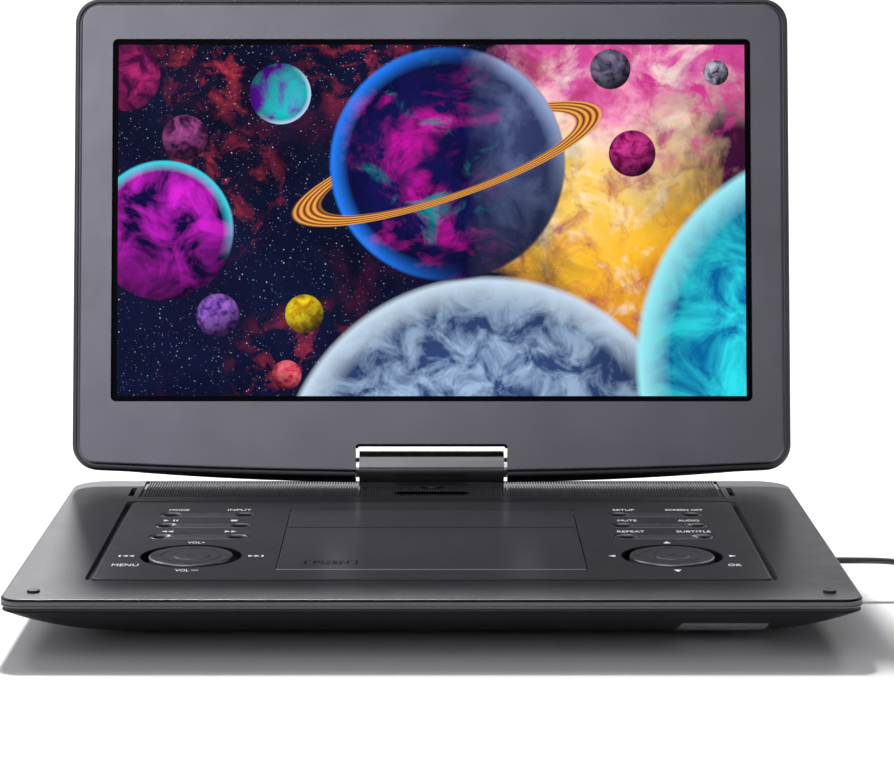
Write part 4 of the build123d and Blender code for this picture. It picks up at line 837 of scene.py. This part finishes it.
def edge_strip(name, inner, outer):
    """A dark strip of painted shade under the lid's near edge, deepest at its inner end and running out at
    its outer end.
    """
    stations = [inner + (outer - inner) * step / STRIP_STEPS for step in range(STRIP_STEPS + 1)]
    lower = [(x, lid_edge(x) - STRIP_DROP * (1 - ((x - inner) / (outer - inner)) ** 2)) for x in stations]
    upper = [(x, lid_edge(x) + STRIP_INSET) for x in reversed(stations)]
    outline = lower + upper if outer > inner else (lower + upper)[::-1]
    painted_shade_strip(name, outline, STRIP_BACK, STRIP_FRONT)


edge_strip("edge_strip_right", NOTCH_HALF_WIDTH, STRIP_REACH)
edge_strip("edge_strip_left", -NOTCH_HALF_WIDTH, -STRIP_REACH)

# ------------------------------------------------------------------ printed marks
PRINT_LIFT = 0.04          # mm above the surface
PRINT_DEPTH = 0.03
KEY_X = 116.4
KEY_ROWS = [47, 21, -5]
KEY_LABEL_SHIFT = 11.2     # label's centre behind its key row
LABEL_END = 15.8           # label's centre from the middle of its row
LABEL_HEIGHT = 3.9
SIGN_HEIGHT = 3.6
PAD_SIGN_HEIGHT = 3.7
TRACK_SIGN_HEIGHT = 3.4
PAD_X = 116.5
PAD_Y = -48.2


def place_print(name, mesh, material=None):
    """A print whose mesh is already in place, as a piece on the base."""
    mesh.materials.clear()
    mesh.materials.append(material or print_white_painted_glow)
    piece = link(name, mesh, "base")
    return piece


def word(name, text, x, y, height, width, material=None):
    """A printed word of a given cap height and width, centred on a point of the panel."""
    data = bpy.data.curves.new(name, "FONT")
    data.body = text
    data.align_x = "CENTER"
    data.extrude = PRINT_DEPTH / 2 * MM
    data.resolution_u = 3
    source = bpy.data.objects.new(name, data)
    mesh = bpy.data.meshes.new_from_object(source)
    bpy.data.objects.remove(source)
    corners = [vertex.co for vertex in mesh.vertices]
    low_x, high_x = min(c.x for c in corners), max(c.x for c in corners)
    low_y, high_y = min(c.y for c in corners), max(c.y for c in corners)
    stretch = Matrix.Diagonal((width * MM / (high_x - low_x), height * MM / (high_y - low_y), 1, 1))
    centre = Matrix.Translation((-(low_x + high_x) / 2, -(low_y + high_y) / 2, 0))
    mesh.transform(Matrix.Translation(on_base(x, y, PRINT_LIFT)) @ stretch @ centre)
    return place_print(name, mesh, material)


def sign(name, shapes, x, y, size):
    """A printed pictogram: shapes are outlines in units of its height, about its middle."""
    outlines = [[(x + u * size, y + v * size) for u, v in shape] for shape in shapes]
    return place_print(name, flat_shape(name, outlines, PRINT_LIFT, PRINT_LIFT + PRINT_DEPTH))


def arrow(direction, shift=0.0, width=0.75):
    """A triangle that points right for 1 and left for -1."""
    return [(shift - direction * width / 2, -0.5), (shift + direction * width / 2, 0),
            (shift - direction * width / 2, 0.5)]


def bar(shift, width=0.22):
    """An upright bar."""
    return box_outline(shift - width / 2, -0.5, shift + width / 2, 0.5)


def row_labels():
    """The words and signs behind the six rocker keys."""
    left_signs = {1: ([arrow(1, -0.9), bar(0.2), bar(0.65)], [box_outline(-0.45, -0.42, 0.45, 0.42)]),
                  2: ([arrow(-1, -0.5), arrow(-1, 0.4)], [arrow(1, -0.4), arrow(1, 0.5)])}
    for row, signs in left_signs.items():
        for end, shapes in zip((-1, 1), signs):
            sign(f"sign_left_{row + 1}_{(end + 3) // 2}", shapes, -KEY_X + end * LABEL_END - 1,
                 KEY_ROWS[row] + KEY_LABEL_SHIFT, SIGN_HEIGHT)
    words = [               # name, text, side of the panel, row, end of the row, width
        ("mode", "MODE", -1, 0, -1, 10.4), ("input", "INPUT", -1, 0, 1, 12.4),
        ("setup", "SETUP", 1, 0, -1, 11.4), ("screen", "SCREEN OFF", 1, 0, 1, 19.5),
        ("mute", "MUTE", 1, 1, -1, 9.8), ("audio", "AUDIO", 1, 1, 1, 11.0),
        ("repeat", "REPEAT", 1, 2, -1, 13.8), ("subtitle", "SUBTITLE", 1, 2, 1, 17.2),
    ]
    for name, text, side, row, end, width in words:
        x = side * KEY_X + end * LABEL_END
        word(f"label_{name}", text, x, KEY_ROWS[row] + KEY_LABEL_SHIFT, LABEL_HEIGHT, width)


def pad_labels():
    """The words and signs round the two pads."""
    word("label_louder", "VOL+", -PAD_X, PAD_Y + 29.2, 4.2, 8.6)
    word("label_softer", "VOL", -PAD_X - 1.6, PAD_Y - 30, 4.4, 6.6)
    sign("sign_minus", [box_outline(-0.5, -0.09, 0.5, 0.09)], -PAD_X + 4.4, PAD_Y - 30, TRACK_SIGN_HEIGHT)
    word("label_menu", "MENU", -146.3, -67.2, 4.8, 12.6)
    word("label_ok", "OK", 144.8, -67.2, 4.6, 6.4)
    previous_signs = [bar(-1.05, 0.3), arrow(-1, -0.3), arrow(-1, 0.6)]
    next_signs = [arrow(1, -0.6), arrow(1, 0.3), bar(1.05, 0.3)]
    sign("sign_previous", previous_signs, -147.5, PAD_Y, TRACK_SIGN_HEIGHT)
    sign("sign_next", next_signs, -85.5, PAD_Y, TRACK_SIGN_HEIGHT)
    up_arrow = [(-0.5, -0.55), (0.5, -0.55), (0, 0.55)]
    sign("sign_up", [up_arrow], PAD_X, PAD_Y + 29.5, PAD_SIGN_HEIGHT)
    sign("sign_down", [[(u, -v) for u, v in reversed(up_arrow)]], PAD_X, PAD_Y - 31, PAD_SIGN_HEIGHT)
    sign("sign_back", [arrow(-1, 0, 0.9)], PAD_X - 29.2, PAD_Y, PAD_SIGN_HEIGHT)
    sign("sign_ahead", [arrow(1, 0, 0.9)], PAD_X + 29.4, PAD_Y, PAD_SIGN_HEIGHT)


def push_mark():
    """The word and the bracket at the disc door's front left corner."""
    mark_x, mark_y = -48.2, -62
    half_width, half_height, thin, thick = 12.6, 3.6, 0.2, 0.6
    door_word = word("label_push", "PUSH", mark_x, mark_y, 4.6, 17, material=dark_print_and_shade)
    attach(door_word, "door")
    inside = half_height - thin
    bracket = [
        box_outline(-half_width, -inside, thick - half_width, inside),
        box_outline(half_width - thick, -inside, half_width, inside),
        box_outline(-half_width, -half_height, half_width, -inside),
        box_outline(-half_width, inside, half_width, half_height),
    ]
    outlines = [[(x + mark_x, y + mark_y) for x, y in outline] for outline in bracket]
    mesh = flat_shape("door_mark", outlines, PRINT_LIFT, PRINT_LIFT + PRINT_DEPTH)
    door_mark = place_print("door_mark", mesh, dark_print_and_shade)
    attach(door_mark, "door")


row_labels()
pad_labels()
push_mark()

# ------------------------------------------------------------------ floor and light
FLOOR_HALF_SIZE = 30       # m
floor_data = bpy.data.meshes.new("floor")
floor_builder = bmesh.new()
bmesh.ops.create_grid(floor_builder, x_segments=2, y_segments=2, size=FLOOR_HALF_SIZE)
floor_builder.to_mesh(floor_data)
floor_builder.free()
floor = bpy.data.objects.new("floor", floor_data)
scene.collection.objects.link(floor)
floor_shader = Shader("floor_white")
floor_shader.set(Base_Color=(0.9, 0.9, 0.9, 1), Roughness=0.8, Specular_IOR_Level=0.2)
floor_data.materials.append(floor_shader.material)

SOFT_BOX = (-0.72, 0.35, 0.6)   # the way to a soft box, high at the back left
SOFT_BOX_INNER = 15             # degrees from its middle
SOFT_BOX_OUTER = 26
SOFT_BOX_STRENGTH = 2.2
OVERHEAD_STRENGTH = 0.9
DARK_STRENGTH = 0.06
DIFFUSE_SHARE = 0.27            # how much of the world's light reaches matt surfaces


def studio_world():
    """The world's light.

    A bright low sky behind, a wide band in front that is bright at the left only, a patch straight
    overhead, a soft box at the back left, and dark between them.
    """
    world = bpy.data.worlds.new("studio")
    world.use_nodes = True
    tree = world.node_tree

    def add(kind, *values, **settings):
        """The output of a new node over sockets or numbers."""
        node = tree.nodes.new(kind)
        for key, value in settings.items():
            setattr(node, key, value)
        for socket, value in zip(node.inputs, values):
            if isinstance(value, (int, float)):
                socket.default_value = value
            else:
                tree.links.new(value, socket)
        return node.outputs[0]

    def ramp(value, low_at, high_at, low, high):
        """A smooth change from low to high, while the value goes from low_at to high_at."""
        return add("ShaderNodeMapRange", value, low_at, high_at, low, high, interpolation_type="SMOOTHSTEP")

    def calculate(operation, *values):
        """The result of a maths node."""
        return add("ShaderNodeMath", *values, operation=operation)

    split = tree.nodes.new("ShaderNodeSeparateXYZ")
    direction = tree.nodes.new("ShaderNodeTexCoord").outputs["Generated"]
    tree.links.new(direction, split.inputs[0])
    side, depth, height = split.outputs
    behind = ramp(depth, -0.05, 0.1, 0, 1)
    in_front = calculate("SUBTRACT", 1.0, behind)
    low_sky = calculate("MULTIPLY", ramp(height, 0.34, 0.6, 1, 0), ramp(side, -0.3, 0.3, 0.85, 0.9))
    back_part = calculate("MULTIPLY", low_sky, behind)
    aside = calculate("ABSOLUTE", side)
    front_band = calculate("MULTIPLY", ramp(height, 0.14, 0.27, 0, 1), ramp(height, 0.83, 0.87, 1, 0.3))
    front_band = calculate("MULTIPLY", front_band, ramp(aside, 0.45, 0.75, 1, 0.1))
    front_sky = calculate("MULTIPLY", front_band, ramp(side, -0.2, 0.2, 2.35, 0.0))
    front_part = calculate("MULTIPLY", front_sky, in_front)
    soft_box = tree.nodes.new("ShaderNodeVectorMath")
    soft_box.operation = "DOT_PRODUCT"
    tree.links.new(direction, soft_box.inputs[0])
    soft_box.inputs[1].default_value = Vector(SOFT_BOX).normalized()
    outer, inner = (math.cos(math.radians(angle)) for angle in (SOFT_BOX_OUTER, SOFT_BOX_INNER))
    box_light = ramp(soft_box.outputs[1], outer, inner, 0, SOFT_BOX_STRENGTH)
    overhead = ramp(height, 0.84, 0.87, 0, OVERHEAD_STRENGTH)
    total = calculate("ADD", back_part, front_part)
    for extra in (box_light, overhead, DARK_STRENGTH):
        total = calculate("ADD", total, extra)
    diffuse = tree.nodes.new("ShaderNodeLightPath").outputs["Is Diffuse Ray"]
    share = add("ShaderNodeMapRange", diffuse, 0.0, 1.0, 1.0, DIFFUSE_SHARE)
    strength = calculate("MULTIPLY", total, share)
    tree.links.new(strength, tree.nodes["Background"].inputs["Strength"])
    tree.nodes["Background"].inputs["Color"].default_value = (1, 0.985, 1.05, 1)
    return world


scene.world = studio_world()
scene.view_settings.view_transform = "Standard"

SUN_ELEVATION = 41.0
SUNS = [                   # energy, width in degrees, and turn to the left of straight behind
    (4.7, 5.0, 6.0),
    (0.5, 16.0, 30.0),
    (0.5, 16.0, -26.0),
]
for index, (energy, width, turn) in enumerate(SUNS):
    sun_data = bpy.data.lights.new(f"sun_behind_{index + 1}", "SUN")
    sun_data.energy = energy
    sun_data.angle = math.radians(width)
    sun = bpy.data.objects.new(sun_data.name, sun_data)
    sun.rotation_euler = (math.radians(SUN_ELEVATION - 90), 0, math.radians(turn))
    scene.collection.objects.link(sun)
